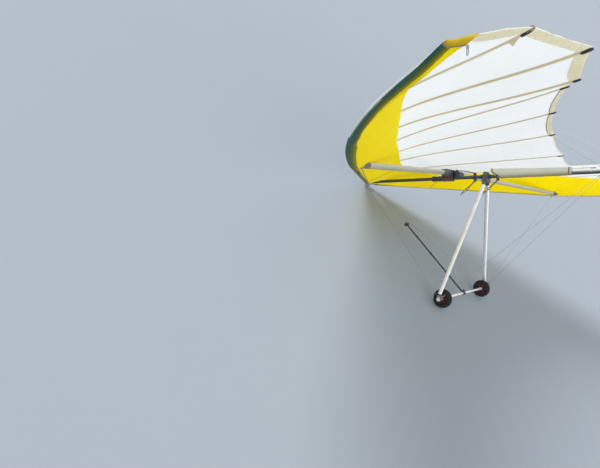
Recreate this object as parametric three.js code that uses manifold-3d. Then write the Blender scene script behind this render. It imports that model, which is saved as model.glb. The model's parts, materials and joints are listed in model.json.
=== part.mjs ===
// Two-seat flex-wing hang glider, parked on its nose and its two wheels.
// Everything is first laid out in the flying frame: nose at the origin, +X to the glider's left,
// +Y aft along the keel, +Z up. One group then tips it nose-down onto the floor. Millimetres.
import * as THREE from "three";
import { mergeVertices } from "three/addons/utils/BufferGeometryUtils.js";
import Module from "manifold-3d";

const wasm = await Module();
wasm.setup();

const V = (x, y, z) => new THREE.Vector3(x, y, z);
const DEG = Math.PI / 180;

// Driving dimensions
const KEEL_R = 22.5;
const KEEL_FRONT_Y = 22;
const KEEL_TAIL_Y = 3760;
const SWEEP = 31 * DEG;
const LE_R = 26;
const LE_START_S = 72;
const LE_LENGTH = 6160;
const LE_STEP_S = 4700; // the main tube ends here and a thinner one, sleeved into it, carries on
const LE_OUTER_R = 20;
const LE_TUBE_END_S = 5960; // the sail's sleeve runs on past it, pressed flat
const JOINT_S = 3590; // where the crossbar meets the leading edge, along the tube
const JOINT_DROP = 100; // the leading edge falls this far from nose to crossbar joint
const TIP_BEND_AFT = 528;
const TIP_BEND_UP = 152;
const AFT_POWER = 2.68; // over 1, so that the bend grows towards the tip
const UP_POWER = 1.4;
const HUB_Y = 1300;
const HUB_Z = 76;
const CROSSBAR_R = 30;
const APEX_Y = 1817;
const CORNER_X = 734;
const CORNER_Y = 1540;
const BASE_Z = -1545;
const BASE_TUBE_R = 14;
const WHEEL_X = 636;
const WHEEL_R = 120;
const WHEEL_WIDTH = 74;
const REAR_WIRE_Y = 3180;
const KINGPOST_Y = 1420;
const KINGPOST_TOP_Z = 1290;
const WIRE_R = 1.5;
const GAP = 0.4;
const NOSE_REST = { y: -34, z: -62 }; // the nose skid's lowest corner, which stands on the floor

// Finishes
const finish = (color, roughness, metalness) =>
  new THREE.MeshStandardMaterial({ color, roughness, metalness });
const ALUMINIUM = finish(0xc9c6b8, 0.38, 0.85);
const DARK_TUBE = finish(0x3a4042, 0.45, 0.6);
const STEEL = finish(0x8d9092, 0.35, 0.9);
const BLACK_PLASTIC = finish(0x1b1c20, 0.55, 0.0);
const WHITE_CLOTH = finish(0xeef2f6, 0.7, 0.0);
const YELLOW_CLOTH = finish(0xeadb10, 0.65, 0.0);
const CREAM_CLOTH = finish(0xd6d2c2, 0.75, 0.0);
const TYRE_RUBBER = finish(0x17181c, 0.85, 0.0);
const RED_PLASTIC = finish(0x8a1420, 0.5, 0.0);
const WEBBING = finish(0x141418, 0.9, 0.0);

// Leading edge: straight from the nose to the crossbar joint, then bent aft and up by the sail.
function leadingEdge(s, side = 1) {
  const u = Math.max(0, (s - JOINT_S) / (LE_LENGTH - JOINT_S));
  const fall = -(JOINT_DROP / JOINT_S) * s;
  const shorten = 0.5 * (TIP_BEND_AFT ** 2 / (LE_LENGTH - JOINT_S)) * u * u;
  return V(
    side * (s * Math.cos(SWEEP) - shorten),
    s * Math.sin(SWEEP) + TIP_BEND_AFT * u ** AFT_POWER,
    fall + TIP_BEND_UP * u ** UP_POWER,
  );
}

// Chords of the sail: the battens by number, its root, where its tip narrows, and its tip. Columns: where the front end sits along the leading edge,
// the tail's x, y, z, the camber's height, and how far aft the lower surface reaches.
const STATIONS = [
  { name: "root", s: 128, tail: [1.5, 2830, 72], camber: 92, under: 1020 },
  { name: "7", s: 439, tail: [793, 2926, 127], camber: 62, under: 852 },
  { name: "6", s: 951, tail: [1583, 3032, 236], camber: 109, under: 658 },
  { name: "5", s: 1647, tail: [2368, 3237, 288], camber: 124, under: 676 },
  { name: "4", s: 2413, tail: [3121, 3510, 301], camber: 145, under: 652 },
  { name: "3", s: 3197, tail: [3723, 3705, 188], camber: 173, under: 659 },
  { name: "2", s: 3903, tail: [4266, 3867, 178], camber: 164, under: 667 },
  { name: "1", s: 4690, tail: [4711, 3759, 160], camber: 104, under: 640 },
  { name: "edge", s: 5150, tail: [4843, 3772, 118], camber: 72, under: 150 },
  { name: "flat", s: 5980, tail: [5080, 3796, 43], camber: 15, under: 90 },
  { name: "tip", s: 6120, tail: [5120, 3800, 30], camber: 6, under: 80 },
];
const FLAT_S = STATIONS.at(-2).s;
const TIP_S = STATIONS.at(-1).s;
const WRAP_R = 37;
const WRAP_TAPER = 11; // how much thinner the sail's sleeve gets towards the tip
const FLAT_HALF_HEIGHT = 9; // of the sleeve's flat end
const CLOTH = 3;
const wrapAcross = (s) => WRAP_R - WRAP_TAPER * Math.max(0, (s - JOINT_S) / (LE_LENGTH - JOINT_S));
function wrapHeight(s) {
  const flat = Math.max(0, (s - FLAT_S) / (TIP_S - FLAT_S));
  return wrapAcross(s) + (FLAT_HALF_HEIGHT - wrapAcross(s)) * flat;
}
const SEAM_ANGLE = -36; // where the lower surface takes over from the wrap, below the front

function stationAt(s) {
  let i = 0;
  while (i < STATIONS.length - 2 && s > STATIONS[i + 1].s) i++;
  const a = STATIONS[i];
  const b = STATIONS[i + 1];
  const t = (s - a.s) / (b.s - a.s);
  const mix = (p, q) => p + (q - p) * t;
  return {
    s,
    tail: V(...a.tail.map((c, k) => mix(c, b.tail[k]))),
    camber: mix(a.camber, b.camber),
    under: mix(a.under, b.under),
    rootness: Math.max(0, 1 - (s - STATIONS[0].s) / (STATIONS[1].s - STATIONS[0].s)),
  };
}

// Plan line from the leading edge to the tail, at a share v of the chord. At the root it turns in to
// the centre line just behind the nose, so that the two halves meet over the keel.
const ROOT_TURN = 0.1;
function planPoint(st, v) {
  const f = leadingEdge(st.s);
  const straight = f.clone().lerp(st.tail, v);
  const turned = f.x + (st.tail.x - f.x) * Math.min(1, v / ROOT_TURN);
  straight.x += (turned - straight.x) * st.rootness;
  return straight;
}

// Height of the camber over the chord, 1 at its highest, about a quarter of the chord aft
const CROWN_FALL = 1.454;
const CROWN_PEAK = 0.5 / (0.5 + CROWN_FALL);
const hump = (v) => Math.sqrt(v) * (1 - v) ** CROWN_FALL;
const crown = (v) => hump(v) / hump(CROWN_PEAK);
const LIFT_OFF = 30 / WRAP_R; // height of the upper surface over the tube's centre, as a share of the sleeve's

function upperPoint(st, v, drop = 0) {
  const p = planPoint(st, v);
  p.z += LIFT_OFF * wrapAcross(st.s) * (1 - v) + st.camber * crown(v) - drop;
  return p;
}

function wrapPoint(st, degrees, inset) {
  const f = leadingEdge(st.s);
  const along = leadingEdge(st.s + 5).sub(leadingEdge(st.s - 5)).normalize();
  const aft = V(0, 0, 1).cross(along).normalize();
  const above = along.clone().cross(aft);
  const a = degrees * DEG;
  const forward = (wrapAcross(st.s) - inset) * Math.cos(a);
  const raise = wrapAcross(st.s) - wrapHeight(st.s); // the flat end is pressed against its top
  const height = (wrapHeight(st.s) - inset) * Math.sin(a) + raise;
  return f.addScaledVector(aft, -forward).addScaledVector(above, height);
}

const CHORD_STEPS = [0.05, 0.1, 0.17, 0.26, 0.37, 0.49, 0.62, 0.75, 0.88, 1];
const WRAP_STEPS = [SEAM_ANGLE + 3, -14, 8, 30, 52, 74];
function upperRow(st, inner) {
  const inset = inner ? CLOTH : 0;
  const front = WRAP_STEPS.map((d) => wrapPoint(st, d, inset));
  const back = CHORD_STEPS.map((v) => upperPoint(st, v, inset));
  return [...front, ...back];
}

const BATTEN_R = 6;
const BATTEN_SPACE = 2 * BATTEN_R + CLOTH + 9; // the battens lie between the two surfaces
const UNDER_STEPS = [0.08, 0.2, 0.36, 0.54, 0.76, 1];
const UNDER_WRAP = [SEAM_ANGLE, -62, -90];
const UNDER_CURVE = 1.25; // over 1 keeps the lower surface low behind the leading edge
const UNDER_FLAT = LE_R + 6; // the lower surface runs level until it is this far behind the tube's centre
function lowerRow(st, inner) {
  const front = leadingEdge(st.s);
  const aft = st.tail.clone().sub(front).setZ(0);
  const along = leadingEdge(st.s + 5).sub(leadingEdge(st.s - 5)).setZ(0).normalize();
  const square = Math.abs(aft.clone().normalize().cross(along).z); // chord length to distance off the tube
  const reach = Math.min(st.under / aft.length(), 0.82);
  const depth = reach * aft.length() * square;
  const rear = upperPoint(st, reach).z - BATTEN_SPACE - front.z;
  const inset = inner ? CLOTH : 0;
  const wrap = UNDER_WRAP.map((d) => wrapPoint(st, d, inset));
  const clearKeel = 66 * st.rootness; // passes over the keel tube at the centre
  const back = UNDER_STEPS.map((w) => {
    const p = planPoint(st, w * reach);
    const low = wrapAcross(st.s) - 2 * wrapHeight(st.s) + clearKeel * Math.min(1, (w * reach) / (ROOT_TURN * 0.9));
    const rise = Math.max(0, (w * depth - UNDER_FLAT) / (depth - UNDER_FLAT)) ** UNDER_CURVE;
    p.z = front.z + low + (rear - low) * rise + inset;
    return p;
  });
  return [...wrap, ...back];
}

// Solid helpers
function geometryOf(positions, index) {
  const g = new THREE.BufferGeometry();
  g.setAttribute("position", new THREE.Float32BufferAttribute(positions, 3));
  g.setIndex(index);
  return g;
}

// A closed thin sheet between two equal grids of points, outer and inner.
function sheetBetween(outer, inner) {
  const rows = outer.length;
  const cols = outer[0].length;
  const positions = [...outer.flat(), ...inner.flat()].flatMap((p) => [p.x, p.y, p.z]);
  const at = (side, i, j) => side * rows * cols + i * cols + j;
  const index = [];
  const quad = (a, b, c, d) => index.push(a, b, c, a, c, d);
  for (let i = 0; i < rows - 1; i++) {
    for (let j = 0; j < cols - 1; j++) {
      quad(at(0, i, j), at(0, i + 1, j), at(0, i + 1, j + 1), at(0, i, j + 1));
      quad(at(1, i, j), at(1, i, j + 1), at(1, i + 1, j + 1), at(1, i + 1, j));
    }
    quad(at(0, i, 0), at(1, i, 0), at(1, i + 1, 0), at(0, i + 1, 0));
    quad(at(0, i, cols - 1), at(0, i + 1, cols - 1), at(1, i + 1, cols - 1), at(1, i, cols - 1));
  }
  for (let j = 0; j < cols - 1; j++) {
    quad(at(0, 0, j), at(0, 0, j + 1), at(1, 0, j + 1), at(1, 0, j));
    const k = rows - 1;
    quad(at(0, k, j), at(1, k, j), at(1, k, j + 1), at(0, k, j + 1));
  }
  return outward(geometryOf(positions, index));
}

function outward(g) {
  const s = solid(g);
  if (s.volume() >= 0) return g;
  const index = Array.from(g.index.array);
  for (let i = 0; i < index.length; i += 3) [index[i + 1], index[i + 2]] = [index[i + 2], index[i + 1]];
  g.setIndex(index);
  return g;
}

function solid(g) {
  const bare = g.clone();
  bare.deleteAttribute("normal");
  bare.deleteAttribute("uv");
  const merged = mergeVertices(bare, 1e-3);
  return new wasm.Manifold(
    new wasm.Mesh({
      numProp: 3,
      vertProperties: new Float32Array(merged.attributes.position.array),
      triVerts: new Uint32Array(merged.index.array),
    }),
  );
}

function fromSolid(m) {
  const mesh = m.getMesh();
  return geometryOf(Array.from(mesh.vertProperties), Array.from(mesh.triVerts));
}
const join = (...gs) => fromSolid(gs.map(solid).reduce((a, b) => a.add(b)));
const cut = (g, ...tools) => fromSolid(tools.map(solid).reduce((a, b) => a.subtract(b), solid(g)));

// A straight round rod between two points.
function rod(a, b, radius, sides = 12) {
  const g = new THREE.CylinderGeometry(radius, radius, a.distanceTo(b), sides, 1);
  const turn = new THREE.Quaternion().setFromUnitVectors(V(0, 1, 0), b.clone().sub(a).normalize());
  g.applyQuaternion(turn);
  const mid = a.clone().add(b).multiplyScalar(0.5);
  return g.translate(mid.x, mid.y, mid.z);
}

// A round tube along a curve.
function pipe(curve, radius, steps, sides = 12) {
  const section = new THREE.Shape();
  section.absarc(0, 0, radius, 0, Math.PI * 2, false);
  return new THREE.ExtrudeGeometry(section, {
    steps,
    curveSegments: sides / 2,
    bevelEnabled: false,
    extrudePath: curve,
  });
}

function block(x0, x1, y0, y1, z0, z1) {
  return new THREE.BoxGeometry(x1 - x0, y1 - y0, z1 - z0).translate(
    (x0 + x1) / 2,
    (y0 + y1) / 2,
    (z0 + z1) / 2,
  );
}

// A flat plate, its outline given in x and y, from z0 to z1.
function plate(outline, z0, z1) {
  const shape = new THREE.Shape(outline.map(([x, y]) => new THREE.Vector2(x, y)));
  return new THREE.ExtrudeGeometry(shape, { depth: z1 - z0, bevelEnabled: false }).translate(0, 0, z0);
}

// A body turned about the X axis through (y, z): profile points are [x, radius].
function turnedAboutX(profile, y, z, segments = 36) {
  const points = profile.map(([x, r]) => new THREE.Vector2(r, x));
  const g = new THREE.LatheGeometry(points, segments);
  g.rotateZ(-Math.PI / 2);
  return outward(g.translate(0, y, z));
}

const glider = new THREE.Group();
const flying = new THREE.Group(); // everything in the flying frame
glider.add(flying);
function add(name, geometry, material, parent = flying) {
  const mesh = new THREE.Mesh(geometry, material);
  mesh.name = name;
  parent.add(mesh);
  return mesh;
}
const mirror = (g, side) => {
  if (side > 0) return g;
  const m = g.clone().scale(-1, 1, 1);
  return outward(m.index ? m : mergeVertices(m, 1e-4));
};
const SIDES = [
  { name: "left", side: 1 },
  { name: "right", side: -1 },
];

// Keel, with its tail plug and the rear wire anchor
const tailPlug = rod(V(0, KEEL_TAIL_Y - 40, 0), V(0, KEEL_TAIL_Y + 25, 0), KEEL_R + 3.5, 16);
const keelTube = rod(V(0, KEEL_FRONT_Y, 0), V(0, KEEL_TAIL_Y - 40, 0), KEEL_R, 16);
add("keel_tube", keelTube, DARK_TUBE);
add("keel_tail_plug", tailPlug.translate(0, GAP, 0), BLACK_PLASTIC);
const anchorBand = rod(V(0, REAR_WIRE_Y - 16, 0), V(0, REAR_WIRE_Y + 16, 0), KEEL_R + 4, 16);
const anchorEars = block(-36, 36, REAR_WIRE_Y - 12, REAR_WIRE_Y + 12, -4, 4);
const keelBore = rod(V(0, REAR_WIRE_Y - 60, 0), V(0, REAR_WIRE_Y + 60, 0), KEEL_R + GAP, 16);
add("rear_wire_anchor", cut(join(anchorBand, anchorEars), keelBore), STEEL);

// Nose: two plates that clasp the tube ends, a front web and a skid under it
const NOSE_OUTLINE = [
  [-22, -30],
  [22, -30],
  [104, 30],
  [86, 76],
  [-86, 76],
  [-104, 30],
];
const noseTop = plate(NOSE_OUTLINE, LE_R + 1.5, LE_R + 7);
const noseBottom = plate(NOSE_OUTLINE, -LE_R - 9, -LE_R - 4);
const noseWeb = block(-20, 20, -30, -8, -LE_R - 8, LE_R + 6);
const noseSkid = block(-26, 26, NOSE_REST.y, 26, NOSE_REST.z, -LE_R - 8);
add("nose_plate", join(noseTop, noseBottom, noseWeb, noseSkid), STEEL);

// Hub that carries both crossbars above the keel, its saddle resting on the tube
const hubSaddle = block(-30, 30, HUB_Y - 55, HUB_Y + 55, KEEL_R + GAP, HUB_Z - 20);
const hubBarrel = rod(V(-70, HUB_Y, HUB_Z), V(70, HUB_Y, HUB_Z), 38, 16);
add("crossbar_hub", join(hubSaddle, hubBarrel), BLACK_PLASTIC);

// Kingpost on top of the keel, aft of the hub, with a cap that gathers the upper wires
const kingFoot = block(-17, 17, KINGPOST_Y - 24, KINGPOST_Y + 24, KEEL_R + GAP, KEEL_R + 40);
const kingTube = rod(V(0, KINGPOST_Y, KEEL_R + 30), V(0, KINGPOST_Y, KINGPOST_TOP_Z - 20), 15, 12);
const kingCap = rod(V(0, KINGPOST_Y, KINGPOST_TOP_Z - 22), V(0, KINGPOST_Y, KINGPOST_TOP_Z), 21, 12);
add("kingpost", join(kingFoot, kingTube, kingCap), ALUMINIUM);

// Control frame: apex bracket, two streamlined downtubes, corners, base tube
const APEX_BOTTOM = -KEEL_R - 46;
const apexBlock = block(-62, 62, APEX_Y - 34, APEX_Y + 34, APEX_BOTTOM, -KEEL_R - GAP);
const apexCheeks = block(-34, 34, APEX_Y - 30, APEX_Y + 30, -KEEL_R - 4, 20);
const apexBore = rod(V(0, APEX_Y - 80, 0), V(0, APEX_Y + 80, 0), KEEL_R + GAP, 16);
add("apex_bracket", cut(join(apexBlock, apexCheeks), apexBore), DARK_TUBE);

const DOWNTUBE_TOP = V(44, APEX_Y, APEX_BOTTOM - 1);
const DOWNTUBE_FOOT = V(CORNER_X - 4, CORNER_Y, BASE_Z + 62);
const DOWNTUBE_CHORD = 50;
const DOWNTUBE_THICK = 26;
function downtube() {
  const section = new THREE.Shape();
  section.absellipse(0, 0, DOWNTUBE_THICK / 2, DOWNTUBE_CHORD / 2, 0, Math.PI * 2, false, 0);
  const length = DOWNTUBE_TOP.distanceTo(DOWNTUBE_FOOT);
  const g = new THREE.ExtrudeGeometry(section, { depth: length, bevelEnabled: false, curveSegments: 7 });
  const along = DOWNTUBE_FOOT.clone().sub(DOWNTUBE_TOP).normalize();
  const across = V(0, 1, 0).addScaledVector(along, -along.y).normalize();
  const basis = new THREE.Matrix4().makeBasis(V(0, 0, 0).crossVectors(across, along), across, along);
  const topTrim = block(-500, 500, APEX_Y - 200, APEX_Y + 200, APEX_BOTTOM - 0.5, APEX_BOTTOM + 300);
  g.applyMatrix4(basis).translate(DOWNTUBE_TOP.x, DOWNTUBE_TOP.y, DOWNTUBE_TOP.z);
  return cut(g, topTrim);
}
function cornerFitting() {
  const ring = turnedAboutX(
    [
      [CORNER_X - 26, BASE_TUBE_R + GAP],
      [CORNER_X + 22, BASE_TUBE_R + GAP],
      [CORNER_X + 22, 25],
      [CORNER_X - 26, 25],
      [CORNER_X - 26, BASE_TUBE_R + GAP],
    ],
    CORNER_Y,
    BASE_Z,
    16,
  );
  const stem = block(CORNER_X - 26, CORNER_X + 22, CORNER_Y - 23, CORNER_Y + 23, BASE_Z + 17, BASE_Z + 50);
  return join(ring, stem);
}
for (const { name, side } of SIDES) {
  add(`downtube_${name}`, mirror(downtube(), side), ALUMINIUM);
  add(`corner_fitting_${name}`, mirror(cornerFitting(), side), STEEL);
}
const AXLE_END = CORNER_X + 32;
const baseProfile = [
  [-AXLE_END, 0],
  [-AXLE_END, 24],
  [-AXLE_END + 6, 24],
  [-AXLE_END + 6, BASE_TUBE_R],
  [AXLE_END - 6, BASE_TUBE_R],
  [AXLE_END - 6, 24],
  [AXLE_END, 24],
  [AXLE_END, 0],
];
add("base_tube", turnedAboutX(baseProfile, CORNER_Y, BASE_Z, 16), ALUMINIUM);

// Wheels that spin freely on the base tube's ends
const RIM_R = 74;
const HUB_BORE = BASE_TUBE_R + 1.5;
function tyre() {
  const half = WHEEL_WIDTH / 2;
  const centre = WHEEL_R - half;
  const rim = [
    [-half + 10, RIM_R],
    [half - 10, RIM_R],
  ];
  const tread = Array.from({ length: 9 }, (_, i) => {
    const turn = (i / 8) * Math.PI;
    return [half * Math.cos(turn), centre + half * Math.sin(turn)];
  });
  const profile = [...rim, ...tread, rim[0]];
  return turnedAboutX(profile.map(([x, r]) => [x + WHEEL_X, r]), CORNER_Y, BASE_Z, 32);
}
function wheelHub() {
  const half = WHEEL_WIDTH / 2;
  const nave = 34;
  const web = 10;
  const lip = RIM_R - 8;
  const profile = [
    [-half, HUB_BORE],
    [half, HUB_BORE],
    [half, nave],
    [web, nave + 5],
    [web, lip - 6],
    [half - 10, lip],
    [half - 10, RIM_R - GAP],
    [-half + 10, RIM_R - GAP],
    [-half + 10, lip],
    [-web, lip - 6],
    [-web, nave + 5],
    [-half, nave],
    [-half, HUB_BORE],
  ];
  return turnedAboutX(profile.map(([x, r]) => [x + WHEEL_X, r]), CORNER_Y, BASE_Z, 32);
}
for (const { name, side } of SIDES) {
  add(`tyre_${name}`, mirror(tyre(), side), TYRE_RUBBER);
  add(`wheel_hub_${name}`, mirror(wheelHub(), side), RED_PLASTIC);
}

// Leading edge tubes, their joint brackets, and the crossbars
class LeadingEdgeCurve extends THREE.Curve {
  constructor(from, to) {
    super();
    this.from = from;
    this.to = to;
  }
  getPoint(t, target = V(0, 0, 0)) {
    return target.copy(leadingEdge(this.from + t * (this.to - this.from)));
  }
}
const LE_LAP = 120; // of the thinner tube inside the main one
const JOINT = leadingEdge(JOINT_S);
const HUB_END = V(84, HUB_Y + 14, HUB_Z);
const alongEdge = V(Math.cos(SWEEP), Math.sin(SWEEP), -JOINT_DROP / JOINT_S).normalize();
const inward = V(-Math.sin(SWEEP), Math.cos(SWEEP), 0); // from the leading edge towards the keel
const CROSSBAR_END = JOINT.clone().addScaledVector(inward, 62);
const crossDirection = CROSSBAR_END.clone().sub(HUB_END).normalize();
function jointBracket() {
  const a = JOINT.clone().addScaledVector(alongEdge, -30);
  const b = JOINT.clone().addScaledVector(alongEdge, 30);
  const plugStart = CROSSBAR_END.clone().addScaledVector(crossDirection, 1);
  const plugEnd = CROSSBAR_END.clone().addScaledVector(crossDirection, 22);
  const arm = rod(JOINT, CROSSBAR_END.clone().addScaledVector(crossDirection, 12), 11, 8);
  const bore = rod(a.clone().lerp(b, -0.4), b.clone().lerp(a, -0.4), LE_R + 1.9, 16);
  return cut(join(rod(a, b, LE_R + 6, 16), arm, rod(plugStart, plugEnd, 20, 16)), bore);
}
const crossbar = rod(HUB_END.clone().addScaledVector(crossDirection, 1), CROSSBAR_END, CROSSBAR_R, 20);
for (const { name, side } of SIDES) {
  const mainTube = pipe(new LeadingEdgeCurve(LE_START_S, LE_STEP_S), LE_R, 18, 12);
  const outerTube = pipe(new LeadingEdgeCurve(LE_STEP_S - LE_LAP, LE_TUBE_END_S), LE_OUTER_R, 9, 12);
  const tube = join(mainTube, outerTube);
  add(`leading_edge_tube_${name}`, mirror(tube, side), ALUMINIUM);
  add(`crossbar_${name}`, mirror(crossbar.clone(), side), ALUMINIUM);
  add(`joint_bracket_${name}`, mirror(jointBracket(), side), STEEL);
}

// Wires: straight stays between fittings, each stopping just short of the metal
function stay(a, b, fromA, fromB) {
  const along = b.clone().sub(a).normalize();
  return rod(a.clone().addScaledVector(along, fromA), b.clone().addScaledVector(along, -fromB), WIRE_R, 6);
}
const CORNER_TOP = V(CORNER_X - 2, CORNER_Y, BASE_Z);
const KING_TOP = V(0, KINGPOST_Y, KINGPOST_TOP_Z - 11);
const REAR_EAR = V(30, REAR_WIRE_Y, 0);
const frontLower = stay(V(14, 6, -58), CORNER_TOP, 16, 50);
const rearLower = stay(CORNER_TOP, REAR_EAR, 52, 18);
const sideLower = stay(CORNER_TOP, JOINT, 56, 2 * LE_R);
const sideUpper = stay(KING_TOP, JOINT, 24, 66);
const frontUpper = stay(KING_TOP, V(0, 10, LE_R + 10), 24, 10);
const rearUpper = stay(KING_TOP, V(0, REAR_WIRE_Y, KEEL_R), 24, 14);
for (const { name, side } of SIDES) {
  add(`front_wire_${name}`, mirror(frontLower.clone(), side), STEEL);
  add(`rear_wire_${name}`, mirror(rearLower.clone(), side), STEEL);
  add(`side_wire_${name}`, mirror(sideLower.clone(), side), STEEL);
  add(`upper_side_wire_${name}`, mirror(sideUpper.clone(), side), STEEL);
}
add("upper_front_wire", frontUpper, STEEL);
add("upper_rear_wire", rearUpper, STEEL);

// Sail: upper surface with its leading edge wrap, and the yellow lower surface
const ROW_SPACING = 260; // at most, along the leading edge
const spanStations = [stationAt(STATIONS[0].s)];
for (let i = 1; i < STATIONS.length; i++) {
  const from = STATIONS[i - 1].s;
  const count = Math.ceil((STATIONS[i].s - from) / ROW_SPACING);
  for (let k = 1; k <= count; k++) {
    spanStations.push(stationAt(from + ((STATIONS[i].s - from) * k) / count));
  }
}
const through = (a, b, radius) => rod(a.clone().lerp(b, -0.02), b.clone().lerp(a, -0.02), radius, 8);
const wirePass = [
  through(CORNER_TOP, JOINT, 7),
  through(KING_TOP, JOINT, 7),
];
function upperSail() {
  const sheet = sheetBetween(
    spanStations.map((st) => upperRow(st, false)),
    spanStations.map((st) => upperRow(st, true)),
  );
  const mastHole = rod(V(0, KINGPOST_Y, 0), V(0, KINGPOST_Y, 600), 24, 12);
  const frontSlot = through(KING_TOP, V(0, 10, LE_R + 10), 6);
  const rearSlot = through(KING_TOP, V(0, REAR_WIRE_Y, KEEL_R), 6);
  return cut(sheet, mastHole, frontSlot, rearSlot, ...wirePass);
}
function lowerSail() {
  const sheet = sheetBetween(
    spanStations.map((st) => lowerRow(st, false)),
    spanStations.map((st) => lowerRow(st, true)),
  );
  const barPassEnd = CROSSBAR_END.clone().addScaledVector(crossDirection, 30);
  const barPass = rod(HUB_END, barPassEnd, CROSSBAR_R + 7, 16);
  return cut(sheet, barPass, ...wirePass);
}
for (const { name, side } of SIDES) {
  add(`sail_${name}`, mirror(upperSail(), side), WHITE_CLOTH);
  add(`lower_surface_${name}`, mirror(lowerSail(), side), YELLOW_CLOTH);
}

// Battens: bent rods that lie against the underside of the upper surface
const BATTEN_TIP_OUT = 26;
const BATTEN_GAP = 3.4; // keeps the rods clear of the sheet between its rows
function batten(station) {
  const st = stationAt(station.s);
  st.rootness = 0;
  const stops = [0.1, 0.2, 0.32, 0.45, 0.6, 0.75, 0.88, 0.97];
  const points = stops.map((v) => upperPoint(st, v, CLOTH + BATTEN_R + BATTEN_GAP));
  const last = points.at(-1).clone();
  const aft = last.clone().sub(points.at(-2)).normalize();
  points.push(last.addScaledVector(aft, BATTEN_TIP_OUT + 40));
  return pipe(new THREE.CatmullRomCurve3(points), BATTEN_R, 10, 6);
}
for (const station of STATIONS.filter(({ name }) => Number(name) > 0)) {
  for (const { name, side } of SIDES) {
    add(`batten_${station.name}_${name}`, mirror(batten(station), side), CREAM_CLOTH);
  }
}

// Keel pocket: cloth that wraps the keel behind the control frame and hangs from the sail's root
const POCKET_FRONT_Y = APEX_Y + 190;
const POCKET_END_Y = STATIONS[0].tail[1];
function keelPocket() {
  const rows = [0, 0.25, 0.5, 0.75, 1].map((t) => POCKET_FRONT_Y + t * (POCKET_END_Y - POCKET_FRONT_Y));
  const rootSt = stationAt(STATIONS[0].s);
  const frontY = leadingEdge(rootSt.s).y;
  const ring = (y, r) => {
    const v = (y - frontY) / (POCKET_END_Y - frontY);
    const top = upperPoint(rootSt, Math.min(1, v)).z - CLOTH - 2;
    const arc = Array.from({ length: 9 }, (_, i) => {
      const turn = (150 + 30 * i) * DEG;
      return V(r * Math.cos(turn), y, r * Math.sin(turn));
    });
    return [V(-r * 0.45, y, top), ...arc, V(r * 0.45, y, top)];
  };
  const outerR = KEEL_R + 5;
  const innerR = KEEL_R + 2;
  return sheetBetween(
    rows.map((y) => ring(y, outerR)),
    rows.map((y) => ring(y, innerR)),
  );
}
add("keel_pocket", keelPocket(), CREAM_CLOTH);

// How the parked glider leans: nose skid and both wheels on the floor
const reachY = CORNER_Y - NOSE_REST.y;
const reachZ = NOSE_REST.z - BASE_Z;
const LEAN = Math.atan2(reachZ, reachY) + Math.asin(WHEEL_R / Math.hypot(reachY, reachZ));
flying.rotation.x = LEAN;

// Two hang points. Each has a webbing sling round the keel with a cross bar under it, and a strap that
// swings on the bar with a carabiner in its lower eye. Columns: name, place along the keel.
const HANG_POINTS = [
  { name: "front", y: 1670 },
  { name: "rear", y: APEX_Y + 150 },
];
const STRAP_WIDTH = 28;
const STRAP_THICK = 4;
const STRAP_LENGTH = 160; // from the bar to the middle of the strap's lower eye
const EYE_R = 12;
const BAR_R = 4;
const BAR_DROP = KEEL_R + 27; // from the keel's centre to the bar's
const CHEEK = { inside: 17.5, outside: 22.5, halfWidth: 8 };
const CARABINER = { width: 62, height: 112, bar: 10, riseInEye: 4.8 };
function keelSling(y) {
  const { inside, outside, halfWidth } = CHEEK;
  const band = rod(V(0, y - STRAP_WIDTH / 2, 0), V(0, y + STRAP_WIDTH / 2, 0), KEEL_R + GAP + STRAP_THICK, 16);
  const bore = rod(V(0, y - STRAP_WIDTH, 0), V(0, y + STRAP_WIDTH, 0), KEEL_R + GAP, 16);
  const bottom = -BAR_DROP - BAR_R - 3;
  const cheeks = [
    block(inside, outside, y - halfWidth, y + halfWidth, bottom, -8),
    block(-outside, -inside, y - halfWidth, y + halfWidth, bottom, -8),
  ];
  const bar = rod(V(-inside - 1, y, -BAR_DROP), V(inside + 1, y, -BAR_DROP), BAR_R, 12);
  return cut(join(band, ...cheeks, bar), bore);
}
function strapOutline(out) {
  const shape = new THREE.Shape();
  shape.absarc(0, 0, BAR_R + 1 + out, 0, Math.PI, false);
  shape.absarc(0, -STRAP_LENGTH, EYE_R + out, Math.PI, Math.PI * 2, false);
  shape.closePath();
  return shape;
}
function hangStrap() {
  const loop = strapOutline(STRAP_THICK);
  loop.holes.push(strapOutline(0));
  const g = new THREE.ExtrudeGeometry(loop, { depth: STRAP_WIDTH, bevelEnabled: false, curveSegments: 8 });
  return g.translate(0, 0, -STRAP_WIDTH / 2).rotateX(Math.PI / 2).rotateZ(Math.PI / 2);
}
function carabiner() {
  const { width, height, bar } = CARABINER;
  const outline = (w, h) => {
    const shape = new THREE.Shape();
    const r = w / 2;
    shape.absarc(0, h / 2 - r, r, 0, Math.PI, false);
    shape.absarc(0, -h / 2 + r, r, Math.PI, Math.PI * 2, false);
    shape.closePath();
    return shape;
  };
  const ring = outline(width, height);
  ring.holes.push(outline(width - 2 * bar, height - 2 * bar));
  const g = new THREE.ExtrudeGeometry(ring, { depth: bar, bevelEnabled: false, curveSegments: 7 });
  return g.translate(0, 0, -bar / 2).rotateX(Math.PI / 2);
}
for (const { name, y } of HANG_POINTS) {
  add(`keel_sling_${name}`, keelSling(y), WEBBING);
  const hook = new THREE.Group();
  hook.position.copy(V(0, y, -BAR_DROP).applyAxisAngle(V(1, 0, 0), LEAN));
  glider.add(hook);
  add(`hang_strap_${name}`, hangStrap(), WEBBING, hook);
  const link = add(`carabiner_${name}`, carabiner(), STEEL, hook);
  link.position.z = -STRAP_LENGTH - CARABINER.height / 2 + CARABINER.riseInEye;
}

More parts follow.
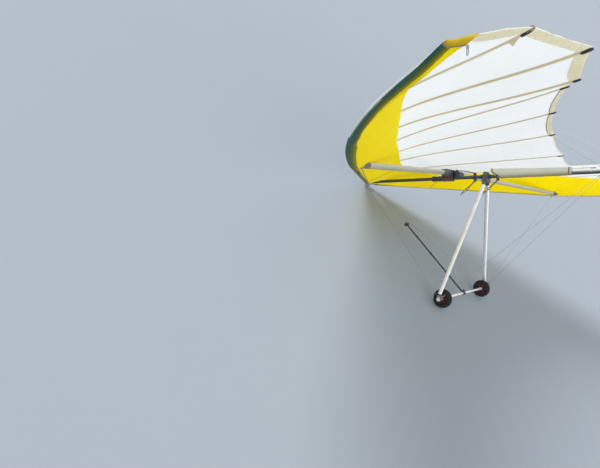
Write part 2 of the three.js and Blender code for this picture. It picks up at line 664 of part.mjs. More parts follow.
// Camera boom, clamped to the middle of the base tube and swung clear of the floor
const BOOM_LENGTH = 1240;
const BOOM_R = 11;
const BOOM_RAISE = LEAN; // above the keel line, so it lies level when parked
const boomAlong = V(0, -Math.cos(BOOM_RAISE), Math.sin(BOOM_RAISE));
const boomPivot = V(0, CORNER_Y, BASE_Z);
const clampProfile = [
  [-20, BASE_TUBE_R + 1],
  [20, BASE_TUBE_R + 1],
  [20, BASE_TUBE_R + 11],
  [-20, BASE_TUBE_R + 11],
  [-20, BASE_TUBE_R + 1],
];
const boomStart = boomPivot.clone().addScaledVector(boomAlong, BASE_TUBE_R + 6);
const boomEnd = boomPivot.clone().addScaledVector(boomAlong, BOOM_LENGTH);
const boomClamp = turnedAboutX(clampProfile, CORNER_Y, BASE_Z, 16);
const boomRod = rod(boomStart, boomEnd, BOOM_R, 10);
add("camera_boom", join(boomClamp, boomRod), BLACK_PLASTIC);
const cameraBody = new THREE.BoxGeometry(66, 34, 46);
cameraBody.rotateX(-BOOM_RAISE);
const cameraAt = boomEnd.clone().addScaledVector(boomAlong, 17 + GAP);
add("camera", cameraBody.translate(cameraAt.x, cameraAt.y, cameraAt.z), BLACK_PLASTIC);

// The part's origin is the middle of the floor under it
glider.updateMatrixWorld(true);
const box = new THREE.Box3().setFromObject(glider, true);
glider.position.set(0, -(box.min.y + box.max.y) / 2, -box.min.z);
export default glider;
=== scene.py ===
"""Looks of a two-seat flex-wing hang glider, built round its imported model.

Lengths are in metres. Most pieces are laid out in the flying frame, with the nose at the origin,
+X to the glider's left, +Y aft along the keel and +Z up, and are then tipped onto the floor.
"""

import json
import logging
import math
from dataclasses import dataclass, field
from enum import Enum
from typing import Iterable, Sequence

import bpy
import numpy as np
from mathutils import Matrix, Vector

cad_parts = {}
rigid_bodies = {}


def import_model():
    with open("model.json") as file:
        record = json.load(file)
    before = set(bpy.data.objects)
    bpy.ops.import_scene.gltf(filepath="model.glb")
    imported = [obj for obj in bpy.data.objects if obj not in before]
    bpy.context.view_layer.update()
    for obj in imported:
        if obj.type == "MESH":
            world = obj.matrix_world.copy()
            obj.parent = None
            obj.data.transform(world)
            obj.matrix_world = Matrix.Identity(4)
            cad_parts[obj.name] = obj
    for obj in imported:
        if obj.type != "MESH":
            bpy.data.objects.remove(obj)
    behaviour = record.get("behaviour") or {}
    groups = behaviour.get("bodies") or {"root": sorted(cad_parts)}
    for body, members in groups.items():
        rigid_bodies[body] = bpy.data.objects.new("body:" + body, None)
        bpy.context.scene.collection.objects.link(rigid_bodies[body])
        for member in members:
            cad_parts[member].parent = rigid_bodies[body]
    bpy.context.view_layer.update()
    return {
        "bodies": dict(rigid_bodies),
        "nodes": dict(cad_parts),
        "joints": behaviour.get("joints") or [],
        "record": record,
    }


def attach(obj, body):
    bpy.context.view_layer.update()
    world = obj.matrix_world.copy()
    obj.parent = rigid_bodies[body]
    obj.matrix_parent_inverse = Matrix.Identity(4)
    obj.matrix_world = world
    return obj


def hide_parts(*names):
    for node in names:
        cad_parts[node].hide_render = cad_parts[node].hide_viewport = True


LOG = logging.getLogger("glider")
AIRFRAME = "airframe"
LEAN = math.radians(46.47586812266244)
TIP_OVER = (0.0, -1.2905591062136125, 0.06734979084655896)
Triple = tuple[float, float, float]
Row = tuple[float, ...]
RGB = Triple
Grid = np.ndarray
X_AXIS, Y_AXIS, Z_AXIS = (1, 0, 0), (0, 1, 0), (0, 0, 1)


# Places


class FlyingFrame:
    """Turns places in the flying frame into places in the row frame."""

    def __init__(self) -> None:
        """Sets up the turn about the X axis and the move onto the floor."""
        c, s = math.cos(LEAN), math.sin(LEAN)
        self.turn = np.array([[1, 0, 0], [0, c, -s], [0, s, c]])
        self.move = np.array(TIP_OVER)

    def place(self, points: Iterable) -> np.ndarray:
        """Moves points into the row frame.

        Args:
            points: One point, or an array of points of any shape ending in 3.

        Returns:
            The points in the row frame, in the same shape.
        """
        return np.asarray(points, float) @ self.turn.T + self.move

    def direction(self, vector: Iterable) -> np.ndarray:
        """Turns a direction into the row frame."""
        return np.asarray(vector, float) @ self.turn.T


FLYING = FlyingFrame()
AFT = FLYING.direction(Y_AXIS)
UP = FLYING.direction(Z_AXIS)


class Side(Enum):
    """Left or right half of the glider; the value mirrors X."""

    LEFT = 1
    RIGHT = -1

    @property
    def word(self) -> str:
        """The side's name as the nodes spell it."""
        return self.name.lower()

    def mirror(self, points: Iterable) -> np.ndarray:
        """Mirrors left-hand points for this side."""
        return np.asarray(points, float) * np.array([self.value, 1, 1])

    def place(self, points: Iterable) -> np.ndarray:
        """Mirrors left-hand points for this side and moves them into the row frame."""
        return FLYING.place(self.mirror(points))

    def direction(self, vector: Iterable) -> np.ndarray:
        """Mirrors a left-hand direction for this side and turns it into the row frame."""
        return FLYING.direction(self.mirror(vector))


# Shader graph


class Signal:
    """A shader socket that can be used in ordinary arithmetic."""

    def __init__(self, graph: "Graph", socket: bpy.types.NodeSocket) -> None:
        """Keeps the graph and the output socket."""
        self.graph = graph
        self.socket = socket

    def _math(self, operation: str, *values: "Signal | float") -> "Signal":
        """Adds one Math node that works on the values."""
        inputs = dict(enumerate(values))
        return self.graph.node("ShaderNodeMath", {"operation": operation}, inputs)

    def __add__(self, other: "Signal | float") -> "Signal":
        """Sum."""
        return self._math("ADD", self, other)

    __radd__ = __add__

    def __sub__(self, other: "Signal | float") -> "Signal":
        """Difference."""
        return self._math("SUBTRACT", self, other)

    def __rsub__(self, other: "Signal | float") -> "Signal":
        """Difference, with this signal taken away."""
        return self._math("SUBTRACT", other, self)

    def __mul__(self, other: "Signal | float") -> "Signal":
        """Product."""
        return self._math("MULTIPLY", self, other)

    __rmul__ = __mul__

    def __truediv__(self, other: "Signal | float") -> "Signal":
        """Quotient."""
        return self._math("DIVIDE", self, other)

    def wave(self) -> "Signal":
        """Sine of the signal."""
        return self._math("SINE", self)

    def size(self) -> "Signal":
        """Absolute value."""
        return self._math("ABSOLUTE", self)

    def fraction(self) -> "Signal":
        """Part after the decimal point."""
        return self._math("FRACT", self)

    def over(self, edge: float) -> "Signal":
        """One where the signal is greater than the edge, otherwise zero."""
        return self._math("GREATER_THAN", self, edge)

    def fit(self, low: float, high: float) -> "Signal":
        """Rescales low..high to 0..1 and clamps."""
        inputs = {"Value": self, "From Min": low, "From Max": high}
        return self.graph.node("ShaderNodeMapRange", {"clamp": True}, inputs)


class Graph:
    """The node tree of one material."""

    def __init__(self, name: str) -> None:
        """Makes an empty material with an output node.

        Args:
            name: The material's name.
        """
        self.material = bpy.data.materials.new(name)
        self.material.use_nodes = True
        self.tree = self.material.node_tree
        self.tree.nodes.clear()
        self.end = self.tree.nodes.new("ShaderNodeOutputMaterial")

    def node(
        self,
        kind: str,
        settings: dict | None = None,
        inputs: dict | None = None,
        output: int | str = 0,
    ) -> Signal:
        """Adds a node.

        Args:
            kind: The node's type.
            settings: Attributes to set first; "stops" holds a ramp's positions and colours.
            inputs: Values or signals for the sockets, by name or number.
            output: The socket to return, by name or number.

        Returns:
            The chosen output as a signal.
        """
        made = self.tree.nodes.new(kind)
        for key, value in (settings or {}).items():
            if key == "stops":
                self._set_stops(made.color_ramp, value)
            else:
                setattr(made, key, value)
        for key, value in (inputs or {}).items():
            if isinstance(value, Signal):
                self.tree.links.new(value.socket, made.inputs[key])
            else:
                short = made.inputs[key].type == "RGBA" and len(value) == 3
                made.inputs[key].default_value = (*value, 1.0) if short else value
        return Signal(self, made.outputs[output])

    @staticmethod
    def _set_stops(ramp: bpy.types.ColorRamp, stops: Sequence[tuple[float, RGB]]) -> None:
        """Fills a colour ramp."""
        while len(ramp.elements) < len(stops):
            ramp.elements.new(1.0)
        for element, (position, colour) in zip(ramp.elements, stops):
            element.position = position
            element.color = (*colour, 1.0)

    def mix(self, share: Signal | float, first: Signal | RGB, second: Signal | RGB) -> Signal:
        """Mixes two colours.

        Args:
            share: How much of the second colour shows.
            first: Colour or signal.
            second: Colour or signal.

        Returns:
            The mixed colour.
        """
        paint = [c if isinstance(c, Signal) else (*c, 1.0) for c in (first, second)]
        inputs = {0: share, 6: paint[0], 7: paint[1]}
        return self.node("ShaderNodeMix", {"data_type": "RGBA"}, inputs, 2)

    def ramp(self, value: Signal, *stops: tuple[float, RGB]) -> Signal:
        """Colour ramp driven by a value."""
        return self.node("ShaderNodeValToRGB", {"stops": stops}, {0: value})

    def place(self) -> Signal:
        """Place on the object, in metres."""
        return self.node("ShaderNodeTexCoord", output="Object")

    def cloth_place(self) -> tuple[Signal, Signal]:
        """Place on a sheet along and across its cut, in metres."""
        uv = self.node("ShaderNodeUVMap", {"uv_map": "cut"})
        parts = self.node("ShaderNodeSeparateXYZ", inputs={0: uv})
        return parts, Signal(self, parts.socket.node.outputs[1])

    def noise(self, where: Signal, scale: float, detail: float = 3.0, rough: float = 0.5) -> Signal:
        """Noise value at a place."""
        inputs = {"Vector": where, "Scale": scale, "Detail": detail, "Roughness": rough}
        return self.node("ShaderNodeTexNoise", inputs=inputs)

    def stretched(self, where: Signal, stretch: Triple) -> Signal:
        """Scales a place unevenly, which draws noise out into streaks."""
        settings = {"operation": "MULTIPLY"}
        return self.node("ShaderNodeVectorMath", settings, {0: where, 1: stretch})

    def bump(
        self, height: Signal, depth: float, strength: float = 1.0, below: Signal | None = None
    ) -> Signal:
        """Bump normal from a height."""
        inputs = {"Height": height, "Distance": depth, "Strength": strength}
        if below is not None:
            inputs["Normal"] = below
        return self.node("ShaderNodeBump", inputs=inputs)

    def finish(self, shader: Signal) -> bpy.types.Material:
        """Links the shader to the output and returns the material."""
        self.tree.links.new(shader.socket, self.end.inputs["Surface"])
        return self.material


# Finishes


def dimmed(colour: RGB, share: float) -> RGB:
    """A colour with each part multiplied by the share."""
    return tuple(part * share for part in colour)


@dataclass(frozen=True)
class Finish:
    """A finish with a name; subclasses say how it is painted."""

    name: str

    def paint(self, graph: Graph) -> Signal:
        """Draws the finish and returns its shader."""
        raise NotImplementedError

    def material(self) -> bpy.types.Material:
        """The finish's material, made once."""
        found = bpy.data.materials.get(self.name)
        if found is not None:
            return found
        graph = Graph(self.name)
        return graph.finish(self.paint(graph))


@dataclass(frozen=True)
class Metal(Finish):
    """Drawn or cast metal with faint streaks, handling marks and uneven gloss."""

    tone: RGB
    worn: RGB
    rough: float = 0.35
    metallic: float = 0.9
    streak: Triple = (40.0, 40.0, 40.0)

    def paint(self, graph: Graph) -> Signal:
        """Streaked colour, fingerprint-like gloss changes and a fine grain."""
        where = graph.place()
        streaks = graph.noise(graph.stretched(where, self.streak), 6.0, 4.0)
        marks = graph.noise(where, 9.0, 5.0, 0.65)
        grain = graph.noise(where, 900.0, 2.0)
        tone = graph.mix(streaks.fit(0.35, 0.7), self.tone, self.worn)
        tone = graph.mix(marks.fit(0.62, 0.8) * 0.45, tone, dimmed(self.tone, 0.45))
        rough = marks.fit(0.3, 0.75) * 0.22 + (self.rough - 0.08) + streaks * 0.1
        normal = graph.bump(grain + streaks * 0.6, 0.00025, 0.35)
        inputs = {
            "Base Color": tone,
            "Metallic": self.metallic,
            "Roughness": rough,
            "Normal": normal,
        }
        return graph.node("ShaderNodeBsdfPrincipled", inputs=inputs)


@dataclass(frozen=True)
class Moulded(Finish):
    """Moulded plastic or rubber with a fine grain, dust in the hollows and scuffs."""

    tone: RGB
    dust: RGB
    rough: float = 0.5
    grain: float = 700.0
    depth: float = 0.0004
    dusty: float = 0.35

    def paint(self, graph: Graph) -> Signal:
        """Grained colour with dust and scuffed gloss."""
        where = graph.place()
        grain = graph.noise(where, self.grain, 3.0)
        cloud = graph.noise(where, 14.0, 6.0, 0.7)
        scuff = graph.noise(graph.stretched(where, (1.0, 6.0, 1.0)), 60.0, 4.0, 0.7)
        tone = graph.mix(cloud.fit(0.45, 0.8) * self.dusty, self.tone, self.dust)
        tone = graph.mix(scuff.fit(0.66, 0.8) * 0.3, tone, self.dust)
        rough = cloud * 0.25 + (self.rough - 0.1)
        normal = graph.bump(grain, self.depth, 0.5)
        inputs = {"Base Color": tone, "Roughness": rough, "Normal": normal}
        return graph.node("ShaderNodeBsdfPrincipled", inputs=inputs)


@dataclass(frozen=True)
class Cloth(Finish):
    """Woven sailcloth that lets some light through."""

    tone: RGB
    shade: RGB
    glow: RGB
    through: float = 0.4
    thread: float = 0.0016
    ripstop: float = 0.0
    wrinkle: float = 0.004
    rough: float = 0.55
    seams: float = 0.0
    stains: float = 0.25
    # Strength of a painted glow: emission in the cloth's own colour that stands in for light carried
    # through it.
    lift: float = 0.0
    shine: float = 0.25
    # Spacing of criss-cross darker lines of painted crease shade, 0 for none.
    net: float = 0.0

    def weave(self, along: Signal, across: Signal) -> Signal:
        """Height of the crossed threads, and of a grid of thicker ones where the cloth has it."""
        turn = 2.0 * math.pi / self.thread
        height = (along * turn).wave() * 0.5 + (across * turn).wave() * 0.5
        if self.ripstop:
            for axis in (along, across):
                line = ((axis / self.ripstop).fraction() - 0.5).size().fit(0.42, 0.5)
                height = height + line * 1.6
        return height

    def colour(self, graph: Graph, along: Signal, across: Signal) -> Signal:
        """Base colour, clouded and lightly stained, with crossed lines of painted crease shade where
        the cloth has them.
        """
        where = graph.place()
        cloud = graph.noise(where, 1.7, 5.0, 0.6)
        stain = graph.noise(where, 6.0, 6.0, 0.7)
        tone = graph.mix(cloud.fit(0.35, 0.7), self.tone, self.shade)
        # Painted crease shade: crossed darker lines over the cloth's tone.
        if self.net:
            bend = graph.noise(where, 5.0, 3.0) * 3.0
            for slope in (1.7, -0.8):
                line = ((along + across * slope) / self.net + bend).fraction() - 0.5
                tone = graph.mix(line.size().fit(0.40, 0.5) * 0.5, tone, dimmed(self.shade, 0.55))
        return graph.mix(stain.fit(0.62, 0.85) * self.stains, tone, dimmed(self.shade, 0.72))

    def paint(self, graph: Graph) -> Signal:
        """Cloth seen by reflected light, mixed with the light that comes through, plus a painted glow
        in its own colour.
        """
        along, across = graph.cloth_place()
        where = graph.place()
        colour = self.colour(graph, along, across)
        height = self.weave(along, across)
        fine = graph.bump(height, 0.00012, 0.35)
        soft = graph.noise(graph.stretched(where, (2.2, 0.9, 1.4)), 3.2, 5.0, 0.62)
        creases = graph.noise(where, 17.0, 4.0, 0.6)
        normal = graph.bump(soft + creases * 0.22, self.wrinkle * 4.0, 0.5, fine)
        if self.seams:
            fold = ((across / self.seams).fraction() - 0.5).size().fit(0.485, 0.5)
            normal = graph.bump(fold, 0.0006, 0.6, normal)
            colour = graph.mix(fold * 0.12, colour, dimmed(self.shade, 0.6))
        rough = soft * 0.2 + (self.rough - 0.1)
        inputs = {
            "Base Color": colour,
            "Roughness": rough,
            "Normal": normal,
            "Specular IOR Level": self.shine,
            # Painted glow: emission in the cloth's own colour.
            "Emission Color": colour,
            "Emission Strength": self.lift,
        }
        front = graph.node("ShaderNodeBsdfPrincipled", inputs=inputs)
        lit = tuple(a * b for a, b in zip(self.tone, self.glow))
        back = graph.node("ShaderNodeBsdfTranslucent", inputs={"Color": lit, "Normal": normal})
        return graph.node("ShaderNodeMixShader", inputs={0: self.clear(graph), 1: front, 2: back})

    def clear(self, graph: Graph) -> Signal | float:
        """Share of the light that comes through."""
        return self.through


@dataclass(frozen=True)
class BandedCloth(Cloth):
    """Sailcloth whose colour runs through bands from the leading edge aft."""

    bands: tuple[tuple[float, RGB], ...] = ()
    # Strength of the dark streaks of painted wrinkle shade along the tube.
    streaks: float = 0.6

    @staticmethod
    def band_place(graph: Graph) -> Signal:
        """Place in the bands along the leading edge, 1 where they end."""
        uv = graph.node("ShaderNodeUVMap", {"uv_map": "band"})
        return graph.node("ShaderNodeSeparateXYZ", inputs={0: uv})

    def clear(self, graph: Graph) -> Signal | float:
        """No light comes through the bands, which lie on the tube."""
        return self.band_place(graph).over(1.02) * self.through

    def colour(self, graph: Graph, along: Signal, across: Signal) -> Signal:
        """Bands across the cut, partly painted shade, with dark streaks of painted wrinkle shade that
        run along the tube.
        """
        base = super().colour(graph, along, across)
        share = self.band_place(graph)
        drawn_out = graph.node("ShaderNodeCombineXYZ", inputs={0: along * 1.1, 1: across * 17.0})
        streak = graph.noise(drawn_out, 3.0, 5.0, 0.7)
        blot = graph.noise(graph.place(), 11.0, 5.0, 0.7)
        band = graph.ramp((share + (streak - 0.5) * 0.5 + (blot - 0.5) * 0.3) * 0.8, *self.bands)
        behind = share.over(1.02)
        tone = graph.mix(behind, band, base)
        # Painted wrinkle shade: dark streaks along the tube, only on the bands.
        painted_wrinkle_shade = (streak * 0.6 + blot * 0.4).fit(0.5, 0.66) * (1 - behind) * self.streaks
        return graph.mix(painted_wrinkle_shade, tone, dimmed(self.shade, 0.1))


@dataclass(frozen=True)
class HungCloth(BandedCloth):
    """Cloth that hangs from a seam, darkened towards its foot by painted shade."""

    # Tone of the painted shade at the foot.
    foot: RGB = (0.3, 0.3, 0.2)

    def clear(self, graph: Graph) -> Signal | float:
        """The same share of light all over."""
        return self.through

    def colour(self, graph: Graph, along: Signal, across: Signal) -> Signal:
        """The painted shade's tone at 0, at the foot, the cloth's own from 1 up."""
        base = Cloth.colour(self, graph, along, across)
        return graph.mix(self.band_place(graph).fit(0.0, 1.0), self.foot, base)


@dataclass(frozen=True)
class Webbing(Finish):
    """Flat woven strap with a herringbone face."""

    tone: RGB
    thread: RGB
    pitch: float = 0.003

    def paint(self, graph: Graph) -> Signal:
        """Slanting ribs that change direction over the strap's width, and fuzz."""
        along, across = graph.cloth_place()
        turn = 2.0 * math.pi / self.pitch
        slant = (across / (self.pitch * 4.0)).fraction() - 0.5
        ribs = ((along + slant.size() * self.pitch * 3.0) * turn).wave()
        fuzz = graph.noise(graph.place(), 1400.0, 2.0)
        tone = graph.mix(ribs.fit(-0.6, 1.0) * 0.6 + fuzz * 0.3, self.tone, self.thread)
        normal = graph.bump(ribs * 0.7 + fuzz * 0.6, 0.0005, 0.7)
        inputs = {
            "Base Color": tone,
            "Roughness": fuzz * 0.2 + 0.7,
            "Normal": normal,
            "Sheen Weight": 0.3,
            "Sheen Roughness": 0.6,
        }
        return graph.node("ShaderNodeBsdfPrincipled", inputs=inputs)


@dataclass(frozen=True)
class Rope(Finish):
    """Twisted wire rope or braided line."""

    tone: RGB
    groove: RGB
    metallic: float = 0.85
    rough: float = 0.35
    pitch: float = 0.012

    def paint(self, graph: Graph) -> Signal:
        """Slanting strands along the rope."""
        along, across = graph.cloth_place()
        turn = 2.0 * math.pi / self.pitch
        strands = ((along + across * 1.4) * turn).wave()
        cloud = graph.noise(graph.place(), 40.0, 4.0)
        tone = graph.mix(strands.fit(-0.9, 0.4), self.groove, self.tone)
        inputs = {
            "Base Color": tone,
            "Metallic": self.metallic,
            "Roughness": cloud * 0.2 + self.rough,
            "Normal": graph.bump(strands, 0.0004, 0.8),
        }
        return graph.node("ShaderNodeBsdfPrincipled", inputs=inputs)


@dataclass(frozen=True)
class Glass(Finish):
    """Coated lens glass."""

    tone: RGB

    def paint(self, graph: Graph) -> Signal:
        """Dark gloss with a faint stain."""
        smear = graph.noise(graph.place(), 120.0, 3.0)
        tone = graph.mix(smear.fit(0.4, 0.8), self.tone, dimmed(self.tone, 2.2))
        inputs = {
            "Base Color": tone,
            "Roughness": smear * 0.08 + 0.03,
            "Coat Weight": 1.0,
            "Coat Roughness": 0.02,
        }
        return graph.node("ShaderNodeBsdfPrincipled", inputs=inputs)


@dataclass(frozen=True)
class Ground(Finish):
    """Plain studio floor."""

    tone: RGB

    def paint(self, graph: Graph) -> Signal:
        """Even matt tone with the slightest cloud."""
        cloud = graph.noise(graph.place(), 0.6, 2.0)
        tone = graph.mix(cloud.fit(0.3, 0.7), self.tone, dimmed(self.tone, 0.985))
        return graph.node("ShaderNodeBsdfPrincipled", inputs={"Base Color": tone, "Roughness": 0.9})


# Colour stops from the leading edge aft: dark teal cloth whose darkness is partly painted shade, then
# olive and orange-brown, which are the yellow cloth darkened by painted shade under the tube, a dark
# brown seam line, then the yellow.
EDGE_BAND_AND_SHADE_STOPS = (
    (0.0, (0.022, 0.080, 0.085)),
    (0.16, (0.028, 0.095, 0.080)),
    (0.32, (0.036, 0.092, 0.046)),
    (0.46, (0.085, 0.115, 0.026)),
    (0.60, (0.150, 0.145, 0.014)),
    (0.72, (0.270, 0.205, 0.009)),
    (0.79, (0.230, 0.150, 0.006)),
    (0.82, (0.880, 0.770, 0.003)),
)
# A cloth's lift is the strength of its painted glow.
WHITE_SAIL = Cloth(
    "white_sail", (0.875, 0.885, 0.885), (0.835, 0.85, 0.855), (1.0, 1.0, 1.0),
    through=0.62, seams=0.62, lift=0.06,
)
YELLOW_SAIL = BandedCloth(
    "yellow_sail", (0.92, 0.80, 0.002), (0.86, 0.72, 0.002), (1.0, 0.98, 0.5),
    lift=0.15, shine=0.05, bands=EDGE_BAND_AND_SHADE_STOPS,
)
TIP_CLOTH = Cloth(
    "tip_yellow_cloth", (0.70, 0.50, 0.012), (0.50, 0.36, 0.010), (1.0, 0.9, 0.5),
    through=0.3, wrinkle=0.006,
)
# Crossed lines of painted crease shade over the tip panel.
EDGE_CLOTH = Cloth(
    "beige_edge_cloth", (0.93, 0.90, 0.78), (0.80, 0.75, 0.60), (1.0, 0.98, 0.90),
    through=0.55, ripstop=0.006, wrinkle=0.009, lift=0.14, net=0.055,
)
# The pocket's foot is darkened by painted shade.
POCKET_CLOTH = HungCloth(
    "keel_pocket_weave", (0.84, 0.83, 0.76), (0.74, 0.72, 0.62), (1.0, 0.97, 0.85),
    through=0.3, wrinkle=0.007, lift=0.04, foot=(0.34, 0.33, 0.20),
)
SLEEVE_CLOTH = Cloth(
    "batten_sleeve_cloth", (0.84, 0.79, 0.64), (0.70, 0.64, 0.48), (1.0, 0.96, 0.86),
    through=0.5, lift=0.06,
)
SEAM_YELLOW = Webbing("brown_yellow_seam", (0.30, 0.23, 0.02), (0.42, 0.34, 0.03), pitch=0.0022)
SEAM_THREAD = Webbing("brown_seam_tape", (0.16, 0.125, 0.075), (0.27, 0.21, 0.13), pitch=0.0022)
STITCH = Webbing("grey_stitching", (0.30, 0.30, 0.31), (0.42, 0.42, 0.43), pitch=0.0012)
BLACK_STRAP = Webbing("black_webbing", (0.010, 0.010, 0.013), (0.055, 0.055, 0.062))
RED_STRAP = Webbing("dark_red_webbing", (0.115, 0.010, 0.018), (0.20, 0.03, 0.04))
ANODISED = Metal(
    "anodised_tube", (0.90, 0.905, 0.91), (0.78, 0.785, 0.80),
    rough=0.36, metallic=0.6, streak=(1.0, 1.0, 1.0),
)
CREAM_TUBE = Metal(
    "cream_crossbar", (0.64, 0.60, 0.46), (0.52, 0.49, 0.37), rough=0.36, metallic=0.8
)
KEEL_PAINT = Metal(
    "dark_keel_tube", (0.085, 0.098, 0.10), (0.13, 0.145, 0.145), rough=0.30, metallic=0.8
)
SLATE = Metal(
    "slate_bracket", (0.085, 0.10, 0.115), (0.14, 0.155, 0.17), rough=0.42, metallic=0.6
)
STEEL = Metal(
    "stainless_fittings", (0.48, 0.485, 0.49), (0.34, 0.345, 0.35),
    rough=0.3, metallic=0.95, streak=(20.0, 20.0, 20.0),
)
DARK_STEEL = Metal(
    "dark_gate_sleeve", (0.10, 0.10, 0.105), (0.20, 0.20, 0.20),
    rough=0.4, metallic=0.8, streak=(1.0, 1.0, 60.0),
)
WIRE = Rope("stainless_wire_rope", (0.42, 0.42, 0.43), (0.09, 0.09, 0.095))
LINE = Rope(
    "white_reflex_line", (0.62, 0.62, 0.6), (0.34, 0.34, 0.33), metallic=0.0, rough=0.7, pitch=0.004
)
ORANGE_TAG = Moulded("orange_tag", (0.50, 0.11, 0.012), (0.40, 0.22, 0.10))
BLACK = Moulded("black_moulding", (0.018, 0.018, 0.022), (0.12, 0.115, 0.105), rough=0.48)
SHRINK = Moulded(
    "dark_wire_sleeve", (0.012, 0.012, 0.014), (0.07, 0.07, 0.07), rough=0.4, grain=300.0
)
TYRE = Moulded(
    "grooved_rubber", (0.008, 0.009, 0.011), (0.05, 0.047, 0.04),
    rough=0.9, grain=500.0, depth=0.0008, dusty=0.3,
)
HUB_RED = Moulded("wheel_hub_red", (0.060, 0.005, 0.010), (0.11, 0.04, 0.035))
BOOM_PAINT = Moulded(
    "boom_dark_blue", (0.010, 0.026, 0.042), (0.08, 0.10, 0.11), rough=0.35, grain=260.0, depth=0.0002
)
TAPE = Moulded(
    "grey_green_tape", (0.060, 0.078, 0.068), (0.17, 0.19, 0.165),
    rough=0.6, grain=90.0, depth=0.003, dusty=0.6,
)
DARK_SLEEVE = Moulded(
    "dark_keel_sleeve", (0.016, 0.021, 0.019), (0.085, 0.095, 0.085),
    rough=0.55, grain=120.0, depth=0.002, dusty=0.5,
)
LENS = Glass("lens_glass", (0.006, 0.010, 0.022))
FLOOR = Ground("studio_floor", (0.275, 0.310, 0.351))


# Meshes


